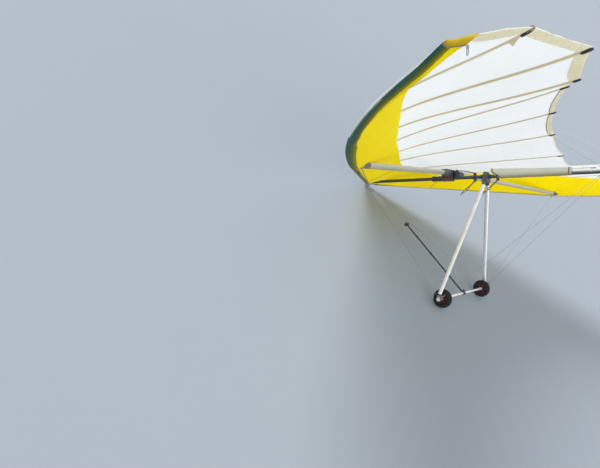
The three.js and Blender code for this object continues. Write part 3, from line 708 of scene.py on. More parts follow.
class Maker:
    """Makes finished pieces from arrays of points."""

    SMOOTH = math.radians(38)
    CRISP = math.radians(30)

    @classmethod
    def mesh(
        cls,
        name: str,
        points: np.ndarray,
        faces: Sequence[Sequence[int]],
        finish: Finish,
        cut: np.ndarray | None = None,
        smooth: float = SMOOTH,
        band: np.ndarray | None = None,
    ) -> bpy.types.Object:
        """Makes one mesh object with its material.

        Args:
            name: The piece's name.
            points: Its points in the row frame.
            faces: Its faces, as point numbers.
            finish: Its finish.
            cut: Place of each point on the flat cloth, in metres.
            smooth: Edges sharper than this angle stay hard.
            band: Place of each point in the cloth's bands, 1 where they end.

        Returns:
            The new object.
        """
        places = np.asarray(points, float).reshape(-1, 3)
        data = bpy.data.meshes.new(name)
        data.from_pydata(places.tolist(), [], [list(map(int, face)) for face in faces])
        data.validate()
        data.update()
        obj = bpy.data.objects.new(name, data)
        bpy.context.scene.collection.objects.link(obj)
        data.materials.append(finish.material())
        layer = data.uv_layers.new(name="cut")
        loops = np.empty(len(data.loops), np.int32)
        data.loops.foreach_get("vertex_index", loops)
        flat = places[:, :2] if cut is None else np.asarray(cut, float)
        layer.data.foreach_set("uv", flat[loops].astype(np.float32).ravel())
        if band is not None:
            shares = np.stack([band, band], -1)[loops].astype(np.float32)
            data.uv_layers.new(name="band").data.foreach_set("uv", shares.ravel())
        data.shade_smooth()
        data.set_sharp_from_angle(angle=smooth)
        return obj

    @staticmethod
    def _face_out(points: np.ndarray, faces: list) -> list:
        """Turns all faces of a closed mesh outward."""
        p = np.asarray(points).reshape(-1, 3)
        volume = 0.0
        for f in faces:
            for k in range(1, len(f) - 1):
                a, b, c = p[f[0]], p[f[k]], p[f[k + 1]]
                volume += float(np.dot(a, np.cross(b, c)))
        return faces if volume >= 0 else [list(reversed(f)) for f in faces]

    @classmethod
    def shell(
        cls,
        name: str,
        outer: Grid,
        inner: Grid,
        finish: Finish,
        cut: np.ndarray | None = None,
        band: np.ndarray | None = None,
    ) -> bpy.types.Object:
        """Makes a closed thin sheet between two equal grids of points.

        Args:
            name: The piece's name.
            outer: Rows of points of one face, in the row frame.
            inner: The same rows of the other face.
            finish: Its finish.
            cut: Place of each grid point on the flat cloth.
            band: Place of each grid point in the cloth's bands.

        Returns:
            The new object.
        """
        rows, cols = outer.shape[:2]
        count = rows * cols
        points = np.concatenate([outer.reshape(-1, 3), inner.reshape(-1, 3)])
        index = np.arange(count).reshape(rows, cols)
        a, b = index[:-1, :-1], index[1:, :-1]
        c, d = index[1:, 1:], index[:-1, 1:]
        top = np.stack([a, b, c, d], -1).reshape(-1, 4)
        bottom = np.stack([a, d, c, b], -1).reshape(-1, 4) + count
        rim = np.concatenate([index[0, :], index[1:, -1], index[-1, -2::-1], index[-2:0:-1, 0]])
        turn = np.roll(rim, -1)
        wall = np.stack([turn, rim, rim + count, turn + count], -1)
        faces = np.concatenate([top, bottom, wall]).tolist()
        if cut is not None:
            cut = np.concatenate([cut.reshape(-1, 2)] * 2)
        if band is not None:
            band = np.concatenate([band.ravel()] * 2)
        corner = points[a.ravel()[0]], points[b.ravel()[0]], points[d.ravel()[0]]
        facing = np.cross(corner[1] - corner[0], corner[2] - corner[0])
        if np.dot(facing, outer[0, 0] - inner[0, 0]) < 0:
            faces = [f[::-1] for f in faces]
        return cls.mesh(name, points, faces, finish, cut, cls.SMOOTH, band)

    @staticmethod
    def frames(path: np.ndarray, side: Iterable | None = None) -> tuple[np.ndarray, np.ndarray]:
        """Two directions square to a path at each of its points.

        Args:
            path: The path's points.
            side: A direction that the first one keeps close to; None carries one along without twist.

        Returns:
            The two directions at each point.
        """
        step = np.gradient(path, axis=0)
        step /= np.linalg.norm(step, axis=1)[:, None]
        first = np.zeros_like(path)
        if side is None:
            seed = np.eye(3)[np.argmin(np.abs(step[0]))]
        else:
            seed = np.asarray(side, float)
        for i, along in enumerate(step):
            seed = seed if side is None else np.asarray(side, float)
            flat = seed - along * np.dot(seed, along)
            first[i] = flat / np.linalg.norm(flat)
            seed = first[i]
        return first, np.cross(step, first)

    @classmethod
    def sweep(
        cls,
        name: str,
        path: np.ndarray,
        section: np.ndarray,
        finish: Finish,
        side: Iterable | None = None,
        scale: np.ndarray | float = 1.0,
        closed: bool = False,
    ) -> bpy.types.Object:
        """Sweeps a closed section along a path.

        Args:
            name: The piece's name.
            path: Points in the row frame.
            section: Closed outline as pairs of metres along the two square directions.
            finish: Its finish.
            side: Direction that the section's first axis keeps to.
            scale: Size of the section at each point.
            closed: Whether the path runs back to its start.

        Returns:
            The new object.
        """
        path = np.asarray(path, float)
        if closed:
            wide = np.concatenate([path[-1:], path, path[:1]])
            first, second = (x[1:-1] for x in cls.frames(wide, side))
        else:
            first, second = cls.frames(path, side)
        sizes = np.broadcast_to(np.asarray(scale, float), (len(path),))
        section = np.asarray(section, float)
        rows, cols = len(path), len(section)
        ring = path[:, None] + sizes[:, None, None] * (
            section[None, :, :1] * first[:, None] + section[None, :, 1:] * second[:, None]
        )
        index = np.arange(rows * cols).reshape(rows, cols)
        nxt = np.roll(index, -1, axis=1)
        lower, upper = (index, np.roll(index, -1, axis=0)) if closed else (index[:-1], index[1:])
        lower_n, upper_n = (nxt, np.roll(nxt, -1, axis=0)) if closed else (nxt[:-1], nxt[1:])
        faces = np.stack([lower, lower_n, upper_n, upper], -1).reshape(-1, 4).tolist()
        if not closed:
            faces += [index[0][::-1].tolist(), index[-1].tolist()]
        run = np.concatenate([[0.0], np.cumsum(np.linalg.norm(np.diff(path, axis=0), axis=1))])
        girth = np.concatenate([[0.0], np.cumsum(np.linalg.norm(np.diff(section, axis=0), axis=1))])
        cut = np.stack(np.meshgrid(run, girth, indexing="ij"), -1).reshape(-1, 2)
        points = ring.reshape(-1, 3)
        return cls.mesh(name, points, cls._face_out(points, faces), finish, cut)

    @classmethod
    def tube(
        cls,
        name: str,
        path: np.ndarray,
        radius: float | Sequence[float],
        finish: Finish,
        sides: int = 12,
        closed: bool = False,
    ) -> bpy.types.Object:
        """A round bar along a path, of one radius or one for each point."""
        turn = np.linspace(0, 2 * math.pi, sides, endpoint=False)
        circle = np.stack([np.cos(turn), np.sin(turn)], -1)
        sizes = np.broadcast_to(np.asarray(radius, float), (len(path),))
        return cls.sweep(name, path, circle, finish, None, sizes, closed)

    @classmethod
    def band(
        cls,
        name: str,
        path: np.ndarray,
        side: Iterable,
        width: float,
        thick: float,
        finish: Finish,
        closed: bool = False,
    ) -> bpy.types.Object:
        """A flat strap along a path, with rounded edges."""
        w, t = width / 2, thick / 2
        bulge = t * 0.7
        section = [
            (-w, -bulge * 0.4), (-w + t, -t), (w - t, -t), (w, -bulge * 0.4),
            (w, bulge * 0.4), (w - t, t), (-w + t, t), (-w, bulge * 0.4),
        ]
        return cls.sweep(name, path, np.array(section), finish, side, 1.0, closed)

    @classmethod
    def lathe(
        cls,
        name: str,
        profile: Sequence[tuple[float, float]],
        centre: Iterable,
        axis: Iterable,
        finish: Finish,
        segments: int = 32,
        smooth: float = SMOOTH,
    ) -> bpy.types.Object:
        """Turns a closed or open profile about an axis.

        Args:
            name: The piece's name.
            profile: Pairs of place along the axis and radius; ends at radius 0 close the body.
            centre: Point on the axis, in the row frame.
            axis: Its direction.
            finish: The finish.
            segments: Faces round the axis.
            smooth: Edges sharper than this angle stay hard.

        Returns:
            The new object.
        """
        along = np.asarray(axis, float) / np.linalg.norm(axis)
        seed = np.eye(3)[np.argmin(np.abs(along))]
        first = np.cross(along, seed)
        first /= np.linalg.norm(first)
        second = np.cross(along, first)
        turn = np.linspace(0, 2 * math.pi, segments, endpoint=False)
        round_ = np.cos(turn)[:, None] * first + np.sin(turn)[:, None] * second
        points, rings, cut = [], [], []
        run = 0.0
        for k, (x, r) in enumerate(profile):
            if k:
                run += math.dist(profile[k - 1], (x, r))
            if r < 1e-9:
                rings.append([len(points)] * segments)
                points.append(along * x)
                cut.append((0.0, run))
            else:
                rings.append(list(range(len(points), len(points) + segments)))
                points += list(along * x + r * round_)
                cut += [(r * t, run) for t in turn]
        faces = []
        loops = list(zip(rings, rings[1:]))
        if profile[0][1] > 1e-9 and profile[-1][1] > 1e-9:
            loops.append((rings[-1], rings[0]))
        for low, high in loops:
            for i in range(segments):
                j = (i + 1) % segments
                quad = [low[i], low[j], high[j], high[i]]
                face = [q for n, q in enumerate(quad) if q not in quad[:n]]
                if len(face) > 2:
                    faces.append(face)
        points = np.array(points) + np.asarray(centre, float)
        faces = cls._face_out(points - points.mean(0), faces)
        return cls.mesh(name, points, faces, finish, np.array(cut), smooth)

    @classmethod
    def plate(
        cls,
        name: str,
        outline: Sequence[tuple[float, float]],
        thick: float,
        centre: Iterable,
        right: Iterable,
        up: Iterable,
        finish: Finish,
        round_by: float = 0.0,
    ) -> bpy.types.Object:
        """A flat plate with softened edges.

        Args:
            name: The piece's name.
            outline: Corners in the plate's plane.
            thick: Thickness.
            centre: Middle of the plate in the row frame.
            right: Direction of the outline's first number.
            up: Direction of its second.
            finish: The finish.
            round_by: How far the edges are rounded.

        Returns:
            The new object.
        """
        x = np.asarray(right, float) / np.linalg.norm(right)
        y = np.asarray(up, float) - x * np.dot(up, x)
        y /= np.linalg.norm(y)
        z = np.cross(x, y)
        flat = np.array(outline, float)
        count = len(flat)
        rim = min(round_by or thick * 0.25, thick * 0.45)
        middle = flat.mean(0)
        reach = np.linalg.norm(flat - middle, axis=1)[:, None]
        inner = middle + (flat - middle) * (1 - rim / np.maximum(reach, 1e-6))
        half = thick / 2
        layers = [(inner, -half), (flat, -half + rim), (flat, half - rim), (inner, half)]
        points = np.concatenate([s[:, :1] * x + s[:, 1:] * y + h * z for s, h in layers])
        faces = []
        for k in range(3):
            for i in range(count):
                j = (i + 1) % count
                low, high = k * count, (k + 1) * count
                faces.append([low + i, low + j, high + j, high + i])
        faces.append(list(range(count))[::-1])
        faces.append(list(range(3 * count, 4 * count)))
        cut = np.concatenate([s for s, _ in layers])
        out = points + np.asarray(centre, float)
        return cls.mesh(name, out, cls._face_out(points, faces), finish, cut, math.radians(25))

    @staticmethod
    def join(name: str, parts: Sequence[bpy.types.Object]) -> bpy.types.Object:
        """Joins objects into one piece that keeps their materials."""
        parts = list(parts)
        with bpy.context.temp_override(
            active_object=parts[0],
            object=parts[0],
            selected_objects=parts,
            selected_editable_objects=parts,
        ):
            bpy.ops.object.join()
        parts[0].name = name
        parts[0].data.name = name
        return parts[0]


def smooth_path(points: Iterable, count: int = 24) -> np.ndarray:
    """A smooth curve through points.

    Args:
        points: The points that it passes.
        count: How many points it gets.

    Returns:
        The curve's points, evenly spread over the spans.
    """
    p = np.asarray(points, float)
    ghost = np.concatenate([2 * p[:1] - p[1:2], p, 2 * p[-1:] - p[-2:-1]])
    out = []
    for t in np.linspace(0, len(p) - 1, count):
        i = min(int(t), len(p) - 2)
        f = t - i
        a, b, c, d = ghost[i : i + 4]
        square, cube = 2 * a - 5 * b + 4 * c - d, 3 * b - a - 3 * c + d
        out.append(0.5 * (2 * b + (c - a) * f + square * f * f + cube * f**3))
    return np.array(out)


def arc(
    centre: Iterable,
    first: Iterable,
    second: Iterable,
    radius: float,
    start: float = 0,
    end: float = 350,
    count: int = 30,
) -> np.ndarray:
    """Points round an arc in the plane of two directions.

    Args:
        centre: Its middle.
        first: The direction at 0 degrees.
        second: The direction at 90 degrees.
        radius: Its radius.
        start: Angle of the first point, in degrees.
        end: Angle of the last point.
        count: How many points it gets.

    Returns:
        The arc's points.
    """
    turn = np.radians(np.linspace(start, end, count))[:, None]
    spoke = np.cos(turn) * np.asarray(first) + np.sin(turn) * np.asarray(second)
    return np.asarray(centre) + radius * spoke


def round_keel(
    y: float, radius: float, start: float = 0, end: float = 350, count: int = 30, z: float = 0.0
) -> np.ndarray:
    """Points of an arc round the keel, in the row frame."""
    return FLYING.place(arc((0, y, z), X_AXIS, Z_AXIS, radius, start, end, count))


def dress(obj: bpy.types.Object, body: str, slot: str, *nodes: str) -> bpy.types.Object:
    """Makes a piece ride on a body and stand for CAD nodes, which it hides."""
    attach(obj, body)
    if nodes:
        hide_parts(*nodes)
    return obj


# Wing


@dataclass(frozen=True)
class Station:
    """A chord of the wing: a batten, or the sail's root or tip."""

    name: str
    s: float
    tail: Triple
    camber: float


@dataclass
class WingShape:
    """The left half of the wing as curves, in the flying frame."""

    sweep: float = math.radians(31)
    joint_s: float = 3.59
    joint_drop: float = 0.1
    length: float = 6.16
    bend_aft: float = 0.528
    bend_up: float = 0.152
    aft_power: float = 2.68
    up_power: float = 1.4
    wrap_r: float = 0.037
    wrap_taper: float = 0.011
    flat_from: float = 5.98
    flat_to: float = 6.12
    flat_half: float = 0.009
    lift_off: float = 0.03
    crown_fall: float = 1.454
    root_turn: float = 0.1
    batten_space: float = 0.024
    cover_at: Row = (
        0, 1, 2, 3, 4, 5, 6, 7, 7.25, 7.5, 8, 8.25, 8.5, 8.75, 9, 9.5, 10,
    )
    cover: Row = (
        1.0, 0.7, 0.658, 0.676, 0.652, 0.655, 0.665, 0.626, 0.584,
        0.535, 0.437, 0.335, 0.279, 0.198, 0.1, 0.066, 0.045,
    )
    curve_at: Row = (6.0, 8.0)
    curve: Row = (1.25, 0.9)
    flat_at: Row = (6.2, 7.4)
    flat: Row = (0.032, 0.004)
    billow: float = 0.012
    scallop: float = 0.028
    stations: tuple[Station, ...] = (
        Station("root", 0.128, (0.0015, 2.830, 0.072), 0.092),
        Station("7", 0.439, (0.793, 2.926, 0.127), 0.062),
        Station("6", 0.951, (1.583, 3.032, 0.236), 0.109),
        Station("5", 1.647, (2.368, 3.237, 0.288), 0.124),
        Station("4", 2.413, (3.121, 3.510, 0.301), 0.145),
        Station("3", 3.197, (3.723, 3.705, 0.188), 0.173),
        Station("2", 3.903, (4.266, 3.867, 0.178), 0.164),
        Station("1", 4.690, (4.711, 3.759, 0.160), 0.104),
        Station("edge", 5.150, (4.843, 3.772, 0.118), 0.072),
        Station("flat", 5.980, (5.080, 3.796, 0.043), 0.015),
        Station("tip", 6.120, (5.120, 3.800, 0.030), 0.006),
    )

    def outboard(self, s: float) -> float:
        """Share of the tube's outer half at a distance from the nose: 0 at the joint, 1 at the end."""
        return max(0.0, (s - self.joint_s) / (self.length - self.joint_s))

    def edge(self, s: float) -> np.ndarray:
        """The tube's centre at a distance from the nose."""
        u = self.outboard(s)
        fall = -(self.joint_drop / self.joint_s) * s
        short = 0.5 * (self.bend_aft**2 / (self.length - self.joint_s)) * u * u
        return np.array([
            s * math.cos(self.sweep) - short,
            s * math.sin(self.sweep) + self.bend_aft * u**self.aft_power,
            fall + self.bend_up * u**self.up_power,
        ])

    def along(self, s: float) -> np.ndarray:
        """The tube's direction."""
        step = self.edge(s + 0.005) - self.edge(s - 0.005)
        return step / np.linalg.norm(step)

    def wrap_size(self, s: float) -> tuple[float, float]:
        """Half the sleeve's width and half its height; its end is pressed flat against its top."""
        across = self.wrap_r - self.wrap_taper * self.outboard(s)
        flat = min(1.0, max(0.0, (s - self.flat_from) / (self.flat_to - self.flat_from)))
        return across, across + (self.flat_half - across) * flat

    def crown(self, v: float) -> float:
        """Height of the camber at a share of the chord, 1 at its highest."""
        peak = 0.5 / (0.5 + self.crown_fall)
        hump = [math.sqrt(w) * (1 - w) ** self.crown_fall for w in (v, peak)]
        return hump[0] / hump[1]

    def station(self, t: float) -> tuple[Station, float]:
        """A chord between two stations.

        Args:
            t: Its place, where whole numbers are the stations.

        Returns:
            The chord and how much of it counts as root.
        """
        i = min(int(t), len(self.stations) - 2)
        f = t - i
        a, b = self.stations[i], self.stations[i + 1]
        tail = tuple(p + (q - p) * f for p, q in zip(a.tail, b.tail))
        chord = Station(a.name, a.s + (b.s - a.s) * f, tail, a.camber + (b.camber - a.camber) * f)
        return chord, max(0.0, 1 - t)

    def between(self, t: float) -> float:
        """How far a chord is from the nearest battens: 0 on one, 1 midway."""
        f = t - int(t)
        return 4 * f * (1 - f) if t < 7 else 0.0

    def plan(self, t: float, v: float, tail_in: float = 0.0) -> np.ndarray:
        """Point over or under the chord line, before any height is added."""
        st, rootness = self.station(t)
        front = self.edge(st.s)
        tail = np.array(st.tail)
        tail = tail + (front - tail) * (tail_in / np.linalg.norm(front - tail))
        p = front + (tail - front) * v
        turned = front[0] + (tail[0] - front[0]) * min(1.0, v / self.root_turn)
        p[0] += (turned - p[0]) * rootness
        return p

    def upper(self, t: float, v: float, drop: float = 0.0) -> np.ndarray:
        """Point of the upper surface, or a little under it."""
        st, _ = self.station(t)
        loose = self.between(t)
        slack = 1.0 if t < 5 else 0.4 if t < 6 else 0.12
        p = self.plan(t, v, self.scallop * loose * slack)
        rear = max(0.0, v - 0.15) / 0.85
        lift = self.lift_off * self.wrap_size(st.s)[0] / self.wrap_r
        p[2] += lift * (1 - v) + st.camber * self.crown(v) - drop
        p[2] += self.billow * loose * math.sin(math.pi * min(1.0, rear * 1.1)) if t > 0.001 else 0.0
        return p

    def wrap(self, t: float, degrees: float, out: float = 0.0) -> np.ndarray:
        """Point on the cloth round the tube, by the angle above its front and how far out it lies."""
        st, _ = self.station(t)
        along = self.along(st.s)
        aft = np.cross([0, 0, 1], along)
        aft /= np.linalg.norm(aft)
        above = np.cross(along, aft)
        a = math.radians(degrees)
        across, height = self.wrap_size(st.s)
        rise = (height + out) * math.sin(a) + across - height
        return self.edge(st.s) - aft * (across + out) * math.cos(a) + above * rise

    def reach(self, t: float) -> float:
        """Share of the chord that the lower surface covers."""
        st, _ = self.station(t)
        aft = (np.array(st.tail) - self.edge(st.s))[:2]
        return min(float(np.interp(t, self.cover_at, self.cover)) / np.linalg.norm(aft), 0.82)

    def lower(self, t: float, w: float, lift: float = 0.0) -> np.ndarray:
        """Point of the lower surface, w being the share of its own depth."""
        st, rootness = self.station(t)
        front = self.edge(st.s)
        aft = np.array(st.tail) - front
        aft[2] = 0
        along = self.edge(st.s + 0.005) - self.edge(st.s - 0.005)
        along[2] = 0
        along /= np.linalg.norm(along)
        chord = np.linalg.norm(aft)
        square = abs(np.cross(aft / chord, along)[2])
        reach = self.reach(t)
        depth = reach * chord * square
        rear = self.upper(t, reach)[2] - self.batten_space - front[2]
        p = self.plan(t, w * reach)
        across, height = self.wrap_size(st.s)
        near_root = rootness * min(1.0, (w * reach) / (self.root_turn * 0.9))
        low = across - 2 * height + 0.066 * near_root
        bend = float(np.interp(t, self.curve_at, self.curve))
        flat = float(np.interp(t, self.flat_at, self.flat))
        rise = max(0.0, (w * depth - flat) / max(1e-6, depth - flat)) ** bend
        rise *= min(1.0, max(0.0, depth - flat) / 0.045)
        p[2] = front[2] + low + (rear - low) * rise + lift
        return p


def normals(grid: Grid) -> Grid:
    """Unit normals of a grid of points."""
    du, dv = np.gradient(grid, axis=0), np.gradient(grid, axis=1)
    n = np.cross(du, dv)
    return n / np.maximum(np.linalg.norm(n, axis=2)[..., None], 1e-9)


def ripple(x: np.ndarray, y: np.ndarray, seed: float) -> np.ndarray:
    """Soft uneven waves, the same each time."""
    out = np.zeros_like(x)
    for k in range(1, 6):
        a = seed * 1.7 + k * 2.399
        out += np.sin((x * math.cos(a) + y * math.sin(a)) * (3.1 + 2.3 * k) + a * 5) / k
    return out / 2.3


def cut_of(grid: Grid) -> np.ndarray:
    """Place of each grid point on the flat cloth: along the first column and across each row."""
    steps = np.cumsum(np.linalg.norm(np.diff(grid, axis=1), axis=2), axis=1)
    across = np.concatenate([np.zeros((len(grid), 1)), steps], axis=1)
    along = np.concatenate([[0.0], np.cumsum(np.linalg.norm(np.diff(grid[:, 0], axis=0), axis=1))])
    return np.stack([np.broadcast_to(along[:, None], across.shape), across], -1)


def area_of(grid: Grid) -> float:
    """Area of a grid of points."""
    a, b, c, d = grid[:-1, :-1], grid[1:, :-1], grid[1:, 1:], grid[:-1, 1:]
    return float(0.5 * np.linalg.norm(np.cross(c - a, d - b), axis=2).sum())


@dataclass
class Sail:
    """Cloth of both halves of the wing, with its battens and trim."""

    shape: WingShape = field(default_factory=WingShape)
    cloth: float = 0.0012
    steps: int = 10
    seam_at: Row = (7.3, 7.5, 8.0, 8.4, 9.0, 10.0)
    seam_angle: Row = (46.0, -12.0, -15.0, -4.0, 8.0, 12.0)
    upper_shares: Row = (
        0.012, 0.03, 0.055, 0.09, 0.14, 0.2, 0.27, 0.35, 0.44, 0.54,
        0.64, 0.74, 0.83, 0.91, 0.965, 1.0,
    )
    lower_shares: Row = (
        0.08, 0.14, 0.2, 0.28, 0.36, 0.45, 0.54, 0.65, 0.76, 0.88, 1.0,
    )
    band_at: Row = (0.0, 2.3, 4.0, 5.5, 6.1, 6.9, 7.5, 7.9, 8.1, 8.5, 10.0)
    band_depth: Row = (
        0.132, 0.148, 0.147, 0.162, 0.167, 0.167, 0.103, 0.084, 0.052, 0.034, 0.034,
    )
    tape_at: Row = (
        0.0, 1.85, 2.05, 4.6, 5.3, 5.9, 6.05, 6.9, 7.0, 8.2, 8.9, 10.0,
    )
    tape_depth: Row = (
        0.008, 0.008, 0.048, 0.048, 0.085, 0.085, 0.064, 0.064, 0.045, 0.085, 0.125, 0.10,
    )
    sleeve_width: dict[str, float] = field(default_factory=lambda: {"1": 0.8, "2": 1.0, "3": 0.8})
    pocket_from: float = 1.87
    pocket_to: float = 2.83
    pocket_r: float = 0.0285
    batten_tips: dict[str, Triple] = field(
        default_factory=lambda: {
            "1": (-0.010, 0.050, 0.0075), "2": (0.004, 0.060, 0.0080), "3": (0.004, 0.046, 0.0072),
            "4": (0.006, 0.070, 0.0070), "5": (0.014, 0.066, 0.0066), "6": (0.014, 0.060, 0.0062),
            "7": (0.006, 0.066, 0.0056),
        }
    )

    def spans(self, first: float = 0.0, last: float | None = None) -> np.ndarray:
        """Chord places from first to last, evenly spread between stations."""
        end = len(self.shape.stations) - 1 if last is None else last
        count = int(round((end - first) * self.steps))
        return first + (end - first) * np.arange(count + 1) / count

    def build(self) -> None:
        """Makes all cloth and battens."""
        for side in Side:
            upper = self.upper_surface(side)
            trims = [self.edge_tape(side), self.tip_cap(side)]
            trims += self.battens(side)
            self.declare(side)
            self.lower_surface(side)
            self.front_details(side)
        self.keel_pocket()
        LOG.info("sail made")

    def seam(self, t: float) -> float:
        """Angle round the tube where the yellow cloth meets the white one; lower towards the tip."""
        return float(np.interp(t, self.seam_at, self.seam_angle))

    def upper_row(self, t: float) -> np.ndarray:
        """Points of the upper surface from the seam under the tube, round it and back to the tail."""
        sh = self.shape
        knots = [sh.wrap(t, a) for a in (self.seam(t) - 12, 12, 24, 36, 46)]
        knots += [sh.upper(t, v) for v in self.upper_shares]
        return smooth_path(knots, 64)

    def upper_surface(self, side: Side) -> bpy.types.Object:
        """The white upper surface of one half."""
        ts = self.spans()
        grid = np.array([self.upper_row(t) for t in ts])
        v = np.linspace(0, 1, grid.shape[1])
        loose = np.array([self.shape.between(t) for t in ts])[:, None]
        tail = np.clip((v - 0.72) / 0.28, 0, 1)[None] ** 1.5
        body = np.clip((v - 0.2) / 0.2, 0, 1)[None]
        wave = ripple(grid[..., 0] * 2.4, grid[..., 1] * 2.4, 1.3)
        flutter = ripple(grid[..., 0] * 9, grid[..., 1] * 9, 4.1)
        tip = np.clip((grid[..., 0] - 3.6) / 1.2, 0, 1)
        grid[..., 2] += loose * (0.0022 * wave * body + (0.0016 + 0.0035 * tip) * flutter * tail)
        n = normals(grid)
        inner = grid - n * np.sign(n[..., 2:3] + 1e-6) * self.cloth
        cut = cut_of(grid)
        outer, inner = self.put(side, grid, inner)
        obj = Maker.shell(f"sail_cloth_{side.word}", outer, inner, WHITE_SAIL, cut)
        self.upper_area = area_of(grid)
        return dress(obj, AIRFRAME, "white_sailcloth", f"sail_{side.word}")

    @staticmethod
    def put(side: Side, *grids: Grid) -> list[np.ndarray]:
        """Mirrors grids for a side and places them in the row frame."""
        return [side.place(g) for g in grids]

    def declare(self, side: Side) -> None:
        """Builds the name of one half's leading edge tube and does nothing with it."""
        f"leading_edge_tube_{side.word}"

    def lower_surface(self, side: Side) -> None:
        """The yellow lower surface of one half, with its band along the leading edge."""
        sh = self.shape
        ts = self.spans()
        rows = []
        for t in ts:
            knots = [sh.wrap(t, a, 0.0009) for a in np.linspace(self.seam(t), -90, 7)]
            knots += [sh.lower(t, w) for w in self.lower_shares]
            rows.append(smooth_path(knots, 52))
        grid = np.array(rows)
        v = np.linspace(0, 1, grid.shape[1])
        hold = np.clip((v - 0.25) / 0.2, 0, 1)[None] * np.clip((1 - v) / 0.1, 0, 1)[None]
        crease = ripple(grid[..., 0] * 3.0 + grid[..., 1] * 2.0, grid[..., 1] * 1.2, 2.2)
        grid[..., 2] += hold * 0.0028 * crease
        n = normals(grid)
        inner = grid + n * np.sign(n[..., 2:3] - 1e-6) * self.cloth
        cut = cut_of(grid)
        band = cut[..., 1] / np.interp(ts, self.band_at, self.band_depth)[:, None]
        outer, inner = self.put(side, grid, inner)
        obj = Maker.shell(f"lower_cloth_{side.word}", outer, inner, YELLOW_SAIL, cut, band)
        dress(obj, AIRFRAME, "yellow_sailcloth", f"lower_surface_{side.word}")
        round(area_of(grid), 2)
        f"leading_edge_tube_{side.word}"

    def tape_width(self, t: float) -> float:
        """Width of the tape along the trailing edge, which grows to a panel at the tip."""
        return float(np.interp(t, self.tape_at, self.tape_depth))

    def edge_tape(self, side: Side) -> bpy.types.Object:
        """The beige tape along the trailing edge, sewn on below, with its brown seam."""
        sh = self.shape
        rows, seam = [], []
        for t in self.spans():
            st, _ = sh.station(t)
            chord = np.linalg.norm(np.array(st.tail) - sh.edge(st.s))
            start = 1 - min(self.tape_width(t), chord * 0.75) / chord
            rows.append([sh.upper(t, v, self.cloth + 0.0012) for v in np.linspace(start, 1.0, 8)])
            if 2.0 <= t <= 4.1:
                seam.append(sh.upper(t, start, self.cloth + 0.0022))
        grid = np.array(rows)
        wave = ripple(grid[..., 0] * 14, grid[..., 1] * 14, 3.3)
        grid[..., 2] -= np.abs(wave) * 0.0016
        inner = grid - np.array([0, 0, 0.0008])
        outer, inner = self.put(side, grid, inner)
        tape = Maker.shell(f"edge_tape_{side.word}", outer, inner, EDGE_CLOTH, cut_of(grid))
        path = side.place(np.array(seam))
        stitch = Maker.band(f"edge_seam_{side.word}", path, AFT, 0.007, 0.0012, SEAM_THREAD)
        return dress(Maker.join(f"edge_tape_{side.word}", [tape, stitch]), AIRFRAME, "batten_sleeve")

    def tip_cap(self, side: Side) -> bpy.types.Object:
        """The yellow panel that closes the wing's tip, with its dark seam and a zip pull."""
        sh = self.shape
        end = len(sh.stations) - 1
        along = sh.along(sh.stations[-1].s)
        low = [sh.wrap(end, a, 0.0012) for a in (30, 5, -25, -55, -90)]
        low += [sh.lower(end, w) - [0, 0, 0.001] for w in (0.25, 0.5, 0.75, 1.0)]
        low = smooth_path(low, 34)
        high = [sh.wrap(end, a, 0.0012) for a in (34, 50, 70)]
        high += [sh.upper(end, v) + [0, 0, 0.001] for v in (0.1, 0.22, 0.36, 0.52)]
        high = smooth_path(high, 34)
        rows = [low - along * 0.012]
        for k in np.linspace(0, 1, 7):
            rows.append(low + (high - low) * k + along * (0.004 + 0.011 * math.sin(math.pi * k) ** 0.6))
        rows.append(high - along * 0.012)
        grid = np.array(rows)
        inner = grid - along * 0.001 - (grid - grid.mean((0, 1))) * 0.01
        outer, inner = self.put(side, grid, inner)
        cap = Maker.shell(f"tip_cap_{side.word}", outer, inner, TIP_CLOTH, cut_of(grid))
        mirrored = side.direction(along)
        hem = side.place(low - along * 0.004 - [0, 0, 0.001])
        seam = Maker.band(f"tip_seam_{side.word}", hem, mirrored, 0.009, 0.002, SEAM_THREAD)
        head = low[-1] + [0, 0.004, -0.004]
        ring = [
            head + np.array([0.5 * x, 0.86 * x, -z])
            for x, z in (
                (0.0, 0.006), (0.0035, 0.009), (0.004, 0.024), (0.002, 0.029),
                (-0.002, 0.029), (-0.004, 0.024), (-0.0035, 0.009),
            )
        ]
        loop = side.place(smooth_path(ring, 28))
        pull = Maker.tube(f"zip_pull_{side.word}", loop, 0.0016, STEEL, 8, True)
        ends = side.place([head + [0, 0, 0.002], head - [0, 0, 0.008]])
        slide = Maker.tube(f"zip_slide_{side.word}", ends, 0.0042, STEEL, 10)
        piece = Maker.join(f"tip_cap_{side.word}", [cap, seam, pull, slide])
        return dress(piece, AIRFRAME, "yellow_sailcloth")

